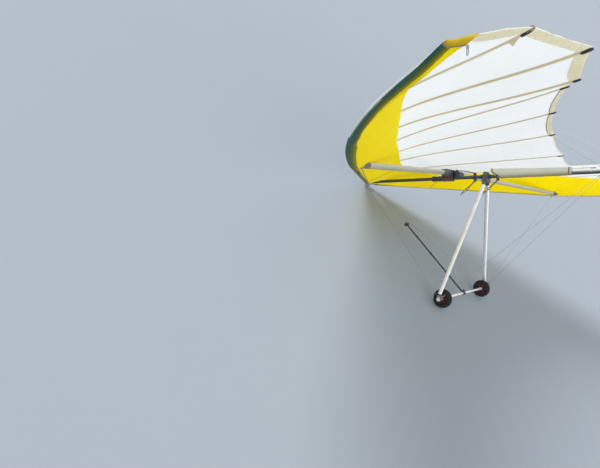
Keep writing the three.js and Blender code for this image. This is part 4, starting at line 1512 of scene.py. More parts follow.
    def battens(self, side: Side) -> list[bpy.types.Object]:
        """The batten sleeves under the upper surface, each with its black tip."""
        sh = self.shape
        made = []
        for k, station in enumerate(sh.stations):
            if not station.name.isdigit():
                continue
            out, length, radius = self.batten_tips[station.name]
            start = max(0.1, sh.reach(k) - 0.06)
            path = np.array([sh.upper(k, v, self.cloth) for v in np.linspace(start, 0.985, 40)])
            half = np.array([(0.0135, 0.0), (0.009, -0.0011), (0.0064, -0.0072), (0.003, -0.0112)])
            section = np.concatenate([half * [-1, 1], half[::-1]])
            section = section * [self.sleeve_width.get(station.name, 0.68), 0.85]
            if side is Side.LEFT:
                section = section * [1, -1]
            name = f"{station.name}_{side.word}"
            row = side.place(path)
            flat = side.direction(X_AXIS)
            sleeve = Maker.sweep(f"batten_sleeve_{name}", row, section, SLEEVE_CLOTH, flat)
            tail = np.array([sh.upper(k, v, 0.0095) for v in (0.95, 1.0)])
            step = (tail[1] - tail[0]) / np.linalg.norm(tail[1] - tail[0])
            end = tail[1] + step * out
            stops = [end - step * d for d in (length, length * 0.85, length * 0.5, 0.012, 0.003, 0.0)]
            sizes = [radius * r for r in (0.7, 1.0, 1.0, 0.95, 0.7, 0.25)]
            tip = Maker.tube(f"batten_tip_{name}", side.place(stops), sizes, BLACK, 14)
            parts = [sleeve, tip]
            if station.name == "1":
                parts += self.batten_flap(side, k)
            piece = Maker.join(f"batten_{station.name}_sewn_{side.word}", parts)
            made.append(dress(piece, AIRFRAME, "batten_sleeve", f"batten_{name}"))
        return made

    def batten_flap(self, side: Side, k: int) -> list[bpy.types.Object]:
        """The loose flap under the first batten's end and the brown tab over its tip."""
        sh = self.shape
        a, b = sh.upper(k, 0.915, 0.012), sh.upper(k, 0.955, 0.012)
        low = (a + b) / 2 + [0.006, -0.002, -0.024]
        shares = np.linspace(0, 1, 6)
        top = np.array([a + (b - a) * f for f in shares])
        foot = np.array([low + (b - a) * 0.12 * (f - 0.5) for f in shares])
        grid = np.array([top + (foot - top) * f for f in shares])
        grid[..., 0] += 0.003 * np.sin(np.linspace(0, 3, 6))[:, None]
        outer, inner = self.put(side, grid, grid + [self.cloth, 0, 0])
        flap = Maker.shell(f"batten_flap_{side.word}", outer, inner, SLEEVE_CLOTH, cut_of(grid))
        tab = np.array([
            sh.upper(k, 0.982, -0.001),
            sh.upper(k, 0.998, -0.002),
            sh.upper(k, 1.0, 0.004) + [0.001, 0.003, 0],
            sh.upper(k, 0.995, 0.010),
            sh.upper(k, 0.982, 0.012),
        ])
        path = side.place(smooth_path(tab, 24))
        flat = side.direction(X_AXIS)
        strap = Maker.band(f"batten_tab_{side.word}", path, flat, 0.02, 0.0016, SEAM_THREAD)
        return [flap, strap]

    def front_details(self, side: Side) -> None:
        """The zip behind the leading edge, a seam from the nose and the cuff round the crossbar."""
        sh = self.shape
        drop = np.array([0, 0, -self.cloth])
        zip_places = zip(np.linspace(2.32, 5.32, 30), np.linspace(0.088, 0.162, 30))
        zip_line = [sh.lower(t, w) + drop for t, w in zip_places]
        path = side.place(np.array(zip_line))
        tape = Maker.band(f"front_zip_{side.word}", path, AFT, 0.010, 0.0016, BLACK_STRAP)
        path = path + FLYING.direction([0, 0, -0.0014])
        teeth = Maker.tube(f"front_teeth_{side.word}", path, 0.0016, SEAM_THREAD, 6)
        knots = smooth_path([(2.1, 0.11), (1.92, 0.3), (1.77, 0.475), (1.57, 0.8), (1.5, 0.92)], 40)
        path = side.place(np.array([sh.lower(t, w) + drop for t, w in knots]))
        seam = Maker.band(f"nose_seam_{side.word}", path, AFT, 0.008, 0.001, SEAM_YELLOW)
        corners = [(-0.006, -0.014), (0.006, -0.014), (0.006, 0.014), (-0.006, 0.014)]
        tag_at = side.place(sh.lower(5.42, 0.13) + drop)
        flat = side.direction(X_AXIS)
        tag = Maker.plate(f"zip_tag_{side.word}", corners, 0.003, tag_at, flat, AFT, ORANGE_TAG)
        trim = Maker.join(f"front_trim_{side.word}", [tape, teeth, seam, tag])
        dress(trim, AIRFRAME, "yellow_sailcloth")
        hub = np.array([0.084, 1.314, 0.076])
        inward = np.array([-math.sin(sh.sweep), math.cos(sh.sweep), 0])
        end = sh.edge(sh.joint_s) + inward * 0.062
        stops = np.array([hub + (end - hub) * f for f in (0.950, 0.952, 0.97, 0.996)])
        sizes = (0.0306, 0.0316, 0.0318, 0.0314)
        cuff = Maker.tube(f"crossbar_cuff_{side.word}", side.place(stops), sizes, BLACK_STRAP, 24)
        dress(cuff, AIRFRAME, "yellow_sailcloth")

    def keel_pocket(self) -> None:
        """The cream cloth pocket that hangs from the root and wraps the keel."""
        sh = self.shape
        front = sh.edge(sh.stations[0].s)[1]
        r = self.pocket_r
        turn = np.radians(np.linspace(180, 360, 13))
        rows = []
        for y in np.linspace(self.pocket_from, self.pocket_to, 34):
            v = min(1.0, (y - front) / (self.pocket_to - front))
            top = sh.upper(0, v)[2] - 0.004
            sag = 0.0015 * math.sin(y * 23) + 0.001 * math.sin(y * 61)
            left = [(-0.013, top), (-0.018, top * 0.6), (-r * 0.93, 0.012)]
            bottom = [(r * math.cos(a), r * math.sin(a) + sag) for a in turn]
            right = [(r * 0.93, 0.012), (0.018, top * 0.6), (0.013, top)]
            cut_back = 0.135 * (self.pocket_to - y) / (self.pocket_to - self.pocket_from)
            rows.append([
                (x, y + cut_back * (1 - min(1.0, max(0.0, (z + 0.03) / 0.085))), z)
                for x, z in left + bottom + right
            ])
        grid = np.array(rows)
        inner = grid * np.array([0.93, 1, 1]) + np.array([0, 0, 0.0015])
        # Share lit from above: 0 under the keel, where painted shade darkens the cloth, rising to 1 at
        # the keel's top.
        lit = np.clip((grid[..., 2] + 0.012) / 0.042, 0, 1)
        outer, inner = FLYING.place(grid), FLYING.place(inner)
        cloth = Maker.shell("pocket_cloth_piece", outer, inner, POCKET_CLOTH, cut_of(grid), lit)
        hems = [
            Maker.band(f"pocket_hem_{k}", outer[k], AFT, 0.016, 0.0022, SEAM_THREAD) for k in (1, -2)
        ]
        piece = Maker.join("keel_pocket_cloth", [cloth, *hems])
        dress(piece, AIRFRAME, "pocket_cloth", "keel_pocket")
        round(area_of(grid), 3)


# Airframe


@dataclass
class Airframe:
    """Finishes and small hardware of the tubes, control frame and wires."""

    apex_y: float = 1.817
    corner: Triple = (0.734, 1.540, -1.545)
    hub: Triple = (0.0, 1.300, 0.076)
    rear_wire_y: float = 3.180
    king: Triple = (0.0, 1.420, 1.290)
    pad_half: float = 0.088
    pad_r: float = 0.0435
    bar_from: float = 0.084
    lash_thick: float = 0.003
    bar_end: np.ndarray = field(
        default_factory=lambda: WingShape().edge(WingShape().joint_s)
        + 0.062 * np.array([-math.sin(WingShape().sweep), math.cos(WingShape().sweep), 0.0])
    )

    def build(self, frame: dict) -> None:
        """Dresses the CAD nodes and adds the hardware."""
        self.finish_nodes(frame["nodes"])
        self.hub_wrap()
        self.keel_wrap()
        self.restraint()
        self.apex()
        self.bridles()
        self.fasteners()
        self.wire_ends()
        LOG.info("airframe dressed")

    @staticmethod
    def finish_nodes(nodes: dict[str, bpy.types.Object]) -> None:
        """Gives every CAD node that stays its own finish."""
        table: list[tuple[str, Finish]] = [
            ("keel_tube", KEEL_PAINT), ("keel_tail_plug", BLACK), ("rear_wire_anchor", STEEL),
            ("nose_plate", STEEL), ("crossbar_hub", TAPE), ("kingpost", ANODISED),
            ("apex_bracket", SLATE),
            ("downtube", ANODISED), ("corner_fitting", STEEL), ("base_tube", ANODISED), ("tyre", TYRE),
            ("wheel_hub", HUB_RED), ("leading_edge_tube", ANODISED), ("crossbar", CREAM_TUBE),
            ("joint_bracket", STEEL), ("front_wire", WIRE), ("rear_wire", WIRE), ("side_wire", WIRE),
            ("upper", WIRE), ("sail", WHITE_SAIL), ("lower", YELLOW_SAIL), ("batten", SLEEVE_CLOTH),
            ("keel_pocket", POCKET_CLOTH), ("keel_sling", BLACK_STRAP), ("hang_strap", BLACK_STRAP),
            ("carabiner", STEEL), ("camera_boom", BOOM_PAINT), ("camera", BLACK),
        ]
        for name, obj in nodes.items():
            exact = [f for key, f in table if name == key]
            close = [f for key, f in table if name.startswith(key)]
            material = (exact or close)[0].material()
            if not obj.data.uv_layers:
                obj.data.uv_layers.new(name="cut")
            obj.data.uv_layers[0].name = "cut"
            obj.data.materials.clear()
            obj.data.materials.append(material)

    def hub_wrap(self) -> None:
        """Padding and straps round the crossbars' hub and inner ends."""
        hx, hy, hz = self.hub
        ends = np.linspace(-self.pad_half, self.pad_half, 12)
        pad = FLYING.place(np.stack([ends, np.full(12, hy), np.full(12, hz)], -1))
        lumps = self.pad_r + 0.0025 * np.sin(ends * 95)
        lumps[[0, -1]] = 0.033
        thick = self.lash_thick
        parts = [Maker.tube("hub_pad", pad, lumps, TAPE, 24)]
        for side in Side:
            bar = np.array([self.bar_from, hy + 0.014, hz])
            out = self.bar_end - bar
            out /= np.linalg.norm(out)
            stops = (0.0, 0.03, 0.07, 0.11, 0.15, 0.19, 0.22, 0.235)
            run = side.place(np.array([bar + out * d for d in stops]))
            sizes = (0.036, 0.0385, 0.0365, 0.0385, 0.036, 0.0375, 0.035, 0.0305)
            parts.append(Maker.tube(f"bar_pad_{side.word}", run, sizes, TAPE, 24))
            way = side.direction(out)
            for d in (0.045, 0.13, 0.205):
                ring = arc(bar + out * d, Z_AXIS, np.cross(out, Z_AXIS), 0.0395, count=32)
                name = f"bar_strap_{side.word}_{d}"
                parts.append(Maker.band(name, side.place(ring), way, 0.024, thick, BLACK_STRAP, True))
        for x, w in ((-0.058, 0.024), (0.058, 0.024), (0.0, 0.036)):
            ring = FLYING.place(arc((x, hy, hz), Y_AXIS, Z_AXIS, 0.0472, count=36))
            parts.append(Maker.band(f"hub_strap_{x}", ring, X_AXIS, w, thick, BLACK_STRAP, True))
        dress(Maker.join("hub_padding", parts), AIRFRAME, "webbing")

    def keel_wrap(self) -> None:
        """Padding, lashings and the red strap round the keel under the hub."""
        hy = self.hub[1]
        thick = self.lash_thick
        run = np.linspace(hy - 0.24, hy - 0.03, 10)
        sleeve = FLYING.place(np.stack([np.zeros(10), run, np.zeros(10)], -1))
        sizes = 0.0335 + 0.002 * np.sin(run * 70)
        sizes[[0, -1]] = 0.024
        parts = [Maker.tube("keel_sleeve", sleeve, sizes, DARK_SLEEVE, 24)]
        for y, w in ((hy - 0.215, 0.03), (hy - 0.13, 0.02), (hy - 0.052, 0.03)):
            ring = round_keel(y, 0.0362)
            parts.append(Maker.band(f"keel_lashing_{y}", ring, AFT, w, thick, BLACK_STRAP, True))
        turn = np.radians(np.linspace(0, 350, 36))
        for y in (hy - 0.062, hy + 0.062):
            ring = np.stack([0.043 * np.cos(turn), np.full(36, y), 0.034 + 0.073 * np.sin(turn)], -1)
            ring = FLYING.place(ring)
            parts.append(Maker.band(f"hub_loop_{y}", ring, AFT, 0.03, 0.004, BLACK_STRAP, True))
        red = round_keel(hy, 0.0385, 150, 390, z=-0.002)
        parts.append(Maker.band("hub_red_strap", red, AFT, 0.085, 0.005, RED_STRAP))
        dress(Maker.join("keel_padding", parts), AIRFRAME, "webbing")

    def restraint(self) -> None:
        """The taut line that holds the hub back towards the keel."""
        _, hy, hz = self.hub
        knots = [
            (0.02, hy + 0.05, hz + 0.016), (0.016, hy + 0.22, hz + 0.012), (0.010, hy + 0.37, 0.052),
        ]
        run = FLYING.place(smooth_path(knots, 20))
        line = Maker.tube("restraint_line", run, 0.0055, SHRINK, 12)
        dress(line, AIRFRAME, "steel_fittings")

    def apex(self) -> None:
        """Cheeks beside the keel at the apex, sockets over the downtubes' tops and a lashing."""
        parts = []
        turn = np.linspace(0, 2 * math.pi, 28, endpoint=False)
        section = np.stack([0.0275 * np.cos(turn), 0.0155 * np.sin(turn)], -1)
        top = np.array([0.044, self.apex_y, -0.0702])
        foot = np.array([0.730, self.corner[1], self.corner[2] + 0.062])
        down = (foot - top) / np.linalg.norm(foot - top)
        outline = [
            (-0.026, -0.066), (0.026, -0.066), (0.031, 0.010), (0.026, 0.046),
            (0.012, 0.064), (-0.012, 0.064), (-0.026, 0.046), (-0.031, 0.010),
        ]
        for side in Side:
            run = np.array([top + down * d for d in (0.0, 0.006, 0.034, 0.040, 0.0405)])
            sizes = np.array((1.0, 1.06, 1.06, 1.0, 0.95))
            path = side.place(run)
            parts.append(Maker.sweep(f"socket_{side.word}", path, section, SLATE, AFT, sizes))
            at = side.mirror(top + down * 0.02 + [0.0, -0.027, 0.0])
            parts.append(self.bolt(f"socket_bolt_{side.word}", at, Y_AXIS, 0.004, 0.0055))
            middle = FLYING.place((side.value * 0.0405, self.apex_y, 0.0))
            parts.append(Maker.plate(f"cheek_{side.word}", outline, 0.011, middle, AFT, UP, SLATE))
            for y in (-0.012, 0.012):
                at = (side.value * 0.0465, self.apex_y + y, 0.036)
                name = f"cheek_bolt_{side.word}_{y}"
                parts.append(self.bolt(name, at, (side.value, 0, 0), 0.002, 0.0055))
        heights = (0.0232, 0.030, 0.066, 0.074, 0.100, 0.108)
        sizes = (0.0325, 0.034, 0.034, 0.030, 0.0195, 0.0165)
        boot = FLYING.place(np.array([(0, self.king[1], z) for z in heights]))
        parts.append(Maker.tube("mast_boot", boot, sizes, DARK_SLEEVE, 24))
        for y in (-0.055, 0.055):
            ring = round_keel(self.apex_y + y, 0.0262)
            parts.append(Maker.band(f"apex_lashing_{y}", ring, AFT, 0.036, 0.005, BLACK_STRAP, True))
        dress(Maker.join("apex_fittings", parts), AIRFRAME, "steel_fittings")

    def bridles(self) -> None:
        """Light lines from the kingpost's cap to the trailing edge, which hold it up in a dive."""
        shape = WingShape()
        top = np.array(self.king) - [0, 0, 0.012]
        parts = []
        for side in Side:
            for t in (1.0, 2.0, 3.0):
                low = shape.upper(t, 0.955, -0.002)
                way = low - top
                out = np.array([way[0], way[1], 0]) / np.hypot(way[0], way[1])
                path = side.place(np.array([top + out * 0.018, (top + low) / 2, low]))
                parts.append(Maker.tube(f"bridle_{side.word}_{t}", path, 0.0014, LINE, 6))
                knot = side.place(np.array([low - way * d for d in (0.012, 0.008, 0.001)]))
                sizes = (0.0016, 0.0036, 0.0030)
                parts.append(Maker.tube(f"bridle_knot_{side.word}_{t}", knot, sizes, LINE, 8))
        dress(Maker.join("reflex_bridles", parts), AIRFRAME, "steel_fittings")

    @staticmethod
    def bolt(
        name: str, at: Iterable, axis: Iterable, length: float, head: float = 0.007
    ) -> bpy.types.Object:
        """A hexagon bolt with washers and a nut, its length between the washers' outer faces."""
        half = length / 2
        washer = head * 1.35
        profile = [
            (-half - 0.005, 0.0), (-half - 0.005, head * 0.92), (-half - 0.0008, head),
            (-half - 0.0008, washer), (-half, washer), (-half, head * 0.55),
            (half, head * 0.55), (half, washer), (half + 0.0012, washer), (half + 0.0012, head),
            (half + 0.006, head * 0.95), (half + 0.006, head * 0.5), (half + 0.009, head * 0.42),
            (half + 0.009, 0.0),
        ]
        middle, way = FLYING.place(at), FLYING.direction(axis)
        return Maker.lathe(name, profile, middle, way, STEEL, 12, math.radians(28))

    def fasteners(self) -> None:
        """Bolts through the nose, apex, corners and joints."""
        made = []
        cx, cy, cz = self.corner
        for sx in (1, -1):
            corner, apex = (sx * (cx - 0.002), cy, cz + 0.034), (sx * 0.050, self.apex_y, -0.045)
            made += [
                self.bolt(f"bolt_corner_{sx}", corner, Y_AXIS, 0.05),
                self.bolt(f"bolt_apex_{sx}", apex, Y_AXIS, 0.072, 0.006),
                self.bolt(f"bolt_nose_{sx}", (sx * 0.062, 0.034, -0.001), Z_AXIS, 0.071, 0.006),
            ]
        made.append(self.bolt("bolt_nose_mid", (0, 0.045, -0.001), Z_AXIS, 0.071, 0.006))
        made.append(self.bolt("bolt_king", (0, self.king[1], 0.045), X_AXIS, 0.036, 0.005))
        dress(Maker.join("airframe_bolts", made), AIRFRAME, "steel_fittings")

    def wire_ends(self) -> None:
        """Sleeves, thimbles and tangs at both ends of each lower wire."""
        shape = WingShape()
        cx, cy, cz = self.corner
        top = np.array([cx - 0.002, cy, cz])
        ends = {
            "front": (np.array([0.014, 0.006, -0.058]), 0.016, 0.050),
            "rear": (np.array([0.030, self.rear_wire_y, 0.0]), 0.018, 0.052),
            "side": (shape.edge(shape.joint_s), 0.052, 0.056),
        }
        made = []
        for side in Side:
            for name, (far, far_gap, near_gap) in ends.items():
                a, b = side.mirror(top), side.mirror(far)
                along = (b - a) / np.linalg.norm(b - a)
                made += self.wire_end(f"{name}_low", a + along * near_gap, along)
                made += self.wire_end(f"{name}_high", b - along * far_gap, -along)
        dress(Maker.join("wire_end_fittings", made), AIRFRAME, "steel_fittings")

    @staticmethod
    def wire_end(name: str, at: np.ndarray, way: np.ndarray) -> list[bpy.types.Object]:
        """A pressed sleeve, its cover and the thimble at one end of a wire.

        Args:
            name: The end's name.
            at: The end, in the flying frame.
            way: Direction along the wire, away from the end.

        Returns:
            The three objects.
        """
        flat = np.cross(way, [0, 0, 1.0])
        flat /= np.linalg.norm(flat)
        up = np.cross(flat, way)
        neck, eye = at + way * 0.014, at + way * 0.002
        loop = smooth_path([neck, eye + up * 0.006, eye - way * 0.008, eye - up * 0.006, neck], 20)
        sleeves = (
            ("s", (0.012, 0.016, 0.034, 0.038), (0.002, 0.0036, 0.0036, 0.002), STEEL),
            ("c", (0.036, 0.040, 0.082, 0.088), (0.0018, 0.0034, 0.0034, 0.0018), SHRINK),
        )
        made = []
        for letter, stops, sizes, finish in sleeves:
            run = FLYING.place([at + way * d for d in stops])
            made.append(Maker.tube(f"{letter}_{name}", run, sizes, finish, 10))
        made.append(Maker.tube(f"e_{name}", FLYING.place(loop[:-1]), 0.0016, STEEL, 8, True))
        return made


@dataclass
class HangPoint:
    """One of the two hang points: webbing round the keel, a strap on its bar and a carabiner."""

    word: str
    y: float
    drop: float = 0.0495
    strap: float = 0.160
    keel: float = 0.0225

    @property
    def body(self) -> str:
        """The body that swings."""
        return f"hang_{self.word}"

    @property
    def knot_height(self) -> float:
        """How far the webbing's folded end stands over the keel; the front one stands higher."""
        return 0.056 if self.word == "front" else 0.040

    def build(self) -> None:
        """Makes all three pieces."""
        self.sling()
        self.webbing()
        self.carabiner()
        LOG.info("hang point %s made", self.word)

    def sling(self) -> None:
        """Webbing wound round the keel, its two ends sewn round the cross bar."""
        over = arc((0, self.y, 0), X_AXIS, Z_AXIS, self.keel + 0.0028, -12, 192, 26)
        ends = [(0.0215, self.y, z) for z in (-0.058, -0.050, -0.035, -0.018)]
        path = np.array(ends + over.tolist() + [(-x, y, z) for x, y, z in ends[::-1]])
        path = FLYING.place(smooth_path(path, 90))
        parts = [Maker.band("wound", path, AFT, 0.026, 0.0036, BLACK_STRAP)]
        for k, w in ((0.0052, 0.040), (0.0085, 0.030)):
            turns = round_keel(self.y, self.keel + k, -8, 188, 26)
            parts.append(Maker.band(f"turn_{w}", turns, AFT, w, 0.0034, BLACK_STRAP))
        tall = self.knot_height
        knot = smooth_path([
            (0.020, self.y, 0.026), (0.016, self.y, tall - 0.010), (0.0, self.y - 0.004, tall),
            (-0.014, self.y, tall - 0.010), (-0.018, self.y, 0.026),
        ], 28)
        parts.append(Maker.band("folded_end", FLYING.place(knot), AFT, 0.028, 0.006, BLACK_STRAP))
        profile = [
            (-0.0275, 0.0), (-0.0275, 0.0062), (-0.0238, 0.0068), (-0.0238, 0.004),
            (0.0238, 0.004), (0.0238, 0.0068), (0.0275, 0.0062), (0.0275, 0.0),
        ]
        centre = FLYING.place((0, self.y, -self.drop))
        parts.append(Maker.lathe("cross_bar", profile, centre, X_AXIS, STEEL, 20, Maker.CRISP))
        for x in (0.0242, -0.0242):
            for z in (-0.030, -0.036):
                line = FLYING.place(np.array([(x, self.y - 0.010, z), (x, self.y + 0.010, z)]))
                parts.append(Maker.tube(f"tack_{x}_{z}", line, 0.0008, STITCH, 6))
        sling = Maker.join(f"sling_{self.word}", parts)
        dress(sling, AIRFRAME, "webbing", f"keel_sling_{self.word}")

    def webbing(self) -> None:
        """The strap: a sewn loop on the bar, closed by rows of stitches, with an eye below."""
        pivot = FLYING.place((0, self.y, -self.drop))
        eye = pivot - [0, 0, self.strap]
        over = arc(pivot, Y_AXIS, Z_AXIS, 0.0070, 0, 180, 14)
        under = arc(eye, Y_AXIS, Z_AXIS, 0.0140, 180, 360, 18)
        left = pivot + np.array([
            (0, -0.0045, -0.018), (0, -0.0032, -0.035), (0, -0.0030, -0.085), (0, -0.0048, -0.115),
        ])
        right = (left - pivot) * [1, -1, 1] + pivot
        loop = np.concatenate([over, left, under, right[::-1]])
        parts = [Maker.band("loop", loop, X_AXIS, 0.026, 0.0034, BLACK_STRAP, True)]
        for side in (1, -1):
            for x in (-0.0095, 0.0, 0.0095):
                run = np.array([(x, side * 0.0050, -0.040 - 0.0045 * k) for k in range(10)])
                run[:, 0] += 0.0014 * np.array([1, -1] * 5)
                parts.append(Maker.tube(f"row_{side}_{x}", pivot + run, 0.0005, STITCH, 5))
        dress(Maker.join(f"strap_{self.word}", parts), self.body, "webbing", f"hang_strap_{self.word}")

    def carabiner(self) -> None:
        """A steel carabiner with a screw gate."""
        centre = FLYING.place((0, self.y, -self.drop)) - [0, 0, self.strap + 0.0512]
        half = 0.0255
        top = arc(centre + [0, 0, half], X_AXIS, Z_AXIS, half, 0, 180, 20)
        low = arc(centre - [0, 0, half], X_AXIS, Z_AXIS, half, 180, 360, 20)
        link = Maker.tube("link", np.concatenate([top, low]), 0.0049, STEEL, 14, True)
        heights = (-0.020, -0.0185, -0.016, 0.012, 0.0145, 0.016)
        gate = np.array([centre + np.array([half, 0, k]) for k in heights])
        sizes = (0.0052, 0.0066, 0.0070, 0.0070, 0.0066, 0.0052)
        sleeve = Maker.tube("gate", gate, sizes, DARK_STEEL, 18)
        widths = (-0.0062, -0.0058, 0.0058, 0.0062)
        hinge = np.array([centre + np.array([half, k, -0.0265]) for k in widths])
        rivet = Maker.tube("hinge", hinge, (0.0015, 0.0026, 0.0026, 0.0015), STEEL, 12)
        piece = Maker.join(f"carabiner_{self.word}_piece", [link, sleeve, rivet])
        dress(piece, self.body, "steel_fittings", f"carabiner_{self.word}")


@dataclass
class Wheel:
    """A wheel at the base tube's end: grooved tyre and ribbed hub."""

    side: Side
    centre: Triple = (0.636, 1.540, -1.545)
    radius: float = 0.120
    half: float = 0.037
    rim: float = 0.074
    grooves: Row = (-0.019, -0.007, 0.007, 0.019)
    groove_depth: float = 0.0034
    groove_half: float = 0.0011
    ribs: int = 6
    bolt_circle: float = 0.052

    def build(self) -> None:
        """Makes the tyre and the hub's ribs."""
        middle = self.side.place(np.array(self.centre))
        turn = np.radians(np.linspace(0, 180, 61))
        x = self.half * np.cos(turn)
        r = self.radius - self.half + self.half * np.sin(turn)
        for groove in self.grooves:
            r -= self.groove_depth * np.clip(1.6 - np.abs(x - groove) / self.groove_half, 0, 1)
        bead = self.half - 0.010
        profile = [(bead, self.rim), *zip(x.tolist(), r.tolist()), (-bead, self.rim)]
        tyre = Maker.lathe("tyre_rubber_ring", profile, middle, X_AXIS, TYRE, 72)
        tyre.name = f"tyre_piece_{self.side.word}"
        dress(tyre, self.body, "tyre_rubber", f"tyre_{self.side.word}")
        parts = []
        outline = [(0.037, 0.009), (0.066, 0.009), (0.066, 0.019), (0.052, 0.020), (0.037, 0.030)]
        bolt = [
            (-0.0155, 0.0), (-0.0155, 0.0048), (-0.010, 0.0052),
            (0.010, 0.0052), (0.0155, 0.0048), (0.0155, 0.0),
        ]
        for k in range(self.ribs):
            a = math.radians(60 * k + 12)
            out = np.array([0, math.cos(a), math.sin(a)])
            for face in (1, -1):
                rib = [(p, q * face) for p, q in outline]
                name = f"rib_{k}_{face}"
                parts.append(Maker.plate(name, rib, 0.006, middle, out, X_AXIS, HUB_RED, 0.0012))
            b = a + math.radians(30)
            at = middle + self.bolt_circle * np.array([0, math.cos(b), math.sin(b)])
            parts.append(Maker.lathe(f"hub_bolt_{k}", bolt, at, X_AXIS, STEEL, 6, Maker.CRISP))
        bearing = [(0.0372, 0.0162), (0.0372, 0.024), (0.0382, 0.026), (0.0382, 0.0162)]
        for face in (1, -1):
            ring = [(face * x, r) for x, r in bearing]
            name = f"bearing_{face}"
            parts.append(Maker.lathe(name, ring, middle, X_AXIS, STEEL, 28, Maker.CRISP))
        ribs = Maker.join(f"hub_ribs_{self.side.word}", parts)
        dress(ribs, self.body, "wheel_hub")
        LOG.info("wheel %s made", self.side.word)

    @property
    def body(self) -> str:
        """The body that spins."""
        return f"wheel_{self.side.word}"


@dataclass
class CameraBoom:
    """Rings and a clamp knob on the boom, and the small blank camera at its end."""

    pivot: Triple = (0.0, 1.540, -1.545)
    length: float = 1.240
    width: float = 0.066
    height: float = 0.046
    depth: float = 0.034

    def build(self) -> None:
        """Makes the fittings and the camera."""
        pivot = FLYING.place(self.pivot)
        along = np.array([0.0, -1.0, 0.0])
        parts = []
        ring = [
            (-0.018, 0.0108), (-0.018, 0.0128), (-0.014, 0.0142),
            (0.012, 0.0142), (0.018, 0.0125), (0.018, 0.0108),
        ]
        for d in (0.34, 0.70, 1.02):
            at = pivot + along * d
            parts.append(Maker.lathe(f"ring_{d}", ring, at, along, BLACK, 24, Maker.CRISP))
        knob = [
            (0.0, 0.0), (0.0, 0.005), (0.016, 0.005), (0.016, 0.013),
            (0.018, 0.015), (0.026, 0.015), (0.028, 0.013), (0.028, 0.0),
        ]
        at = pivot + [0.0, -0.026, 0.010]
        parts.append(Maker.lathe("knob", knob, at, Z_AXIS, BLACK, 20, Maker.CRISP))
        dress(Maker.join("boom_fittings", parts), "boom", "black_plastic")
        centre = pivot + along * (self.length + self.depth / 2 + 0.0004)
        a, b, c = self.width / 2, self.height / 2, 0.007
        quarter = [math.radians(q) for q in (0, 30, 60, 90)]
        corners = [
            (sx * (a - c + c * math.cos(q)), sz * (b - c + c * math.sin(q)))
            for sx, sz in ((1, 1), (-1, 1), (-1, -1), (1, -1))
            for q in (quarter if sx == sz else quarter[::-1])
        ]
        body = Maker.plate("case", corners, self.depth, centre, X_AXIS, Z_AXIS, BLACK, 0.004)
        front = centre + [0.0205, self.depth / 2 - 0.001, 0.008]
        barrel = [
            (0.0, 0.0), (0.0, 0.0105), (0.0045, 0.0105), (0.0060, 0.0095),
            (0.0060, 0.0080), (0.0030, 0.0070), (0.0030, 0.0),
        ]
        lens = Maker.lathe("barrel", barrel, front, Y_AXIS, BLACK, 28, Maker.CRISP)
        dome = [(0.0030, 0.0069), (0.0042, 0.0056), (0.0050, 0.0030), (0.0052, 0.0)]
        glass = Maker.lathe("glass", [(0.0028, 0.0), *dome], front, Y_AXIS, LENS, 28)
        button = [(0.0, 0.0), (0.0, 0.0055), (0.0012, 0.0055), (0.0016, 0.0048), (0.0016, 0.0)]
        at = centre + [-0.018, 0, self.height / 2 - 0.0006]
        top = Maker.lathe("button", button, at, Z_AXIS, SHRINK, 20)
        piece = Maker.join("camera_case", [body, lens, glass, top])
        dress(piece, "boom", "black_plastic", "camera")
        LOG.info("boom and camera made")


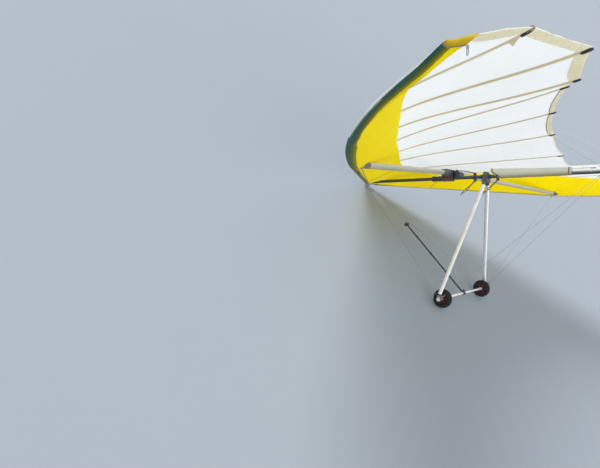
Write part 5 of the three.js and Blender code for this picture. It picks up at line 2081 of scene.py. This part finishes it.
@dataclass
class Studio:
    """Floor, backdrop, lights and camera."""

    lens: float = 31.2655
    eye: Triple = (6.74792399, 4.36100661, -0.55136109)
    right: Triple = (-0.64576888, 0.76349031, 0.00806847)
    up: Triple = (-0.01865869, -0.0263441, 0.99947878)
    back: Triple = (0.76330493, 0.64528175, 0.03125793)
    sun: float = 2.7
    sun_from: Triple = (0.22, -0.72, 0.72)
    fill: float = 2.0
    fill_from: Triple = (0.35, 0.85, 0.22)
    sun_soft: float = 34.0
    fill_soft: float = 60.0
    tint: RGB = (1.0, 0.99, 0.97)
    surround: RGB = (0.84, 0.86, 0.89)
    sweep_from: float = -25.0
    sweep_to: float = -170.0
    sweep_size: float = 260.0
    reach: float = 400.0

    def build(self) -> None:
        """Sets the stage."""
        self.camera()
        self.floor()
        self.lights()
        LOG.info("studio set")

    def camera(self) -> None:
        """Places the camera where the photograph was taken from, in relation to the glider."""
        data = bpy.data.cameras.new("view")
        data.lens = self.lens
        data.sensor_width = 36.0
        data.sensor_fit = "HORIZONTAL"
        data.clip_end = 900.0
        obj = bpy.data.objects.new("view", data)
        bpy.context.scene.collection.objects.link(obj)
        axes = [FLYING.direction(v) for v in (self.right, self.up, self.back)]
        turn = Matrix([list(row) for row in np.stack(axes, 1)]).to_4x4()
        obj.matrix_world = Matrix.Translation(Vector(FLYING.place(self.eye))) @ turn
        bpy.context.scene.camera = obj

    def floor(self) -> None:
        """A wide pale floor that sweeps up far behind the glider."""
        far = self.sweep_from
        x = np.concatenate([np.linspace(self.sweep_to, far, 40), np.linspace(far, self.reach, 12)[1:]])
        x, y = np.meshgrid(x, np.linspace(-self.reach, self.reach, 9), indexing="ij")
        rise = np.clip(far - x, 0, None) ** 2 / self.sweep_size
        grid = np.stack([x, y, rise], -1)
        Maker.shell("floor", grid, grid - np.array([0, 0, 0.02]), FLOOR, grid[..., :2])

    def far_light(self, name: str, strength: float, come_from: Triple, softness: float) -> None:
        """Adds an even light from one direction.

        Args:
            name: The light's name.
            strength: Its strength.
            come_from: Direction that it comes from.
            softness: How wide it looks, in degrees.
        """
        data = bpy.data.lights.new(name, "SUN")
        data.energy = strength
        data.angle = math.radians(softness)
        data.color = self.tint
        lamp = bpy.data.objects.new(name, data)
        bpy.context.scene.collection.objects.link(lamp)
        lamp.rotation_euler = (-Vector(come_from)).to_track_quat("-Z", "Y").to_euler()

    def lights(self) -> None:
        """A wide soft key over the wing, a fill from behind and an even surround."""
        self.far_light("key", self.sun, self.sun_from, self.sun_soft)
        self.far_light("fill", self.fill, self.fill_from, self.fill_soft)
        world = bpy.data.worlds.new("studio")
        bpy.context.scene.world = world
        world.use_nodes = True
        surround = world.node_tree.nodes["Background"]
        surround.inputs["Color"].default_value = (*self.surround, 1.0)
        surround.inputs["Strength"].default_value = 1.0
        bpy.context.scene.view_settings.view_transform = "Standard"


def main() -> None:
    """Builds everything in order."""
    logging.basicConfig(level=logging.INFO, format="%(name)s: %(message)s")
    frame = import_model()
    Studio().build()
    Sail().build()
    Airframe().build(frame)
    for word, y in (("front", 1.670), ("rear", 1.967)):
        HangPoint(word, y).build()
    for side in Side:
        Wheel(side).build()
    CameraBoom().build()


if __name__ == "__main__":
    main()
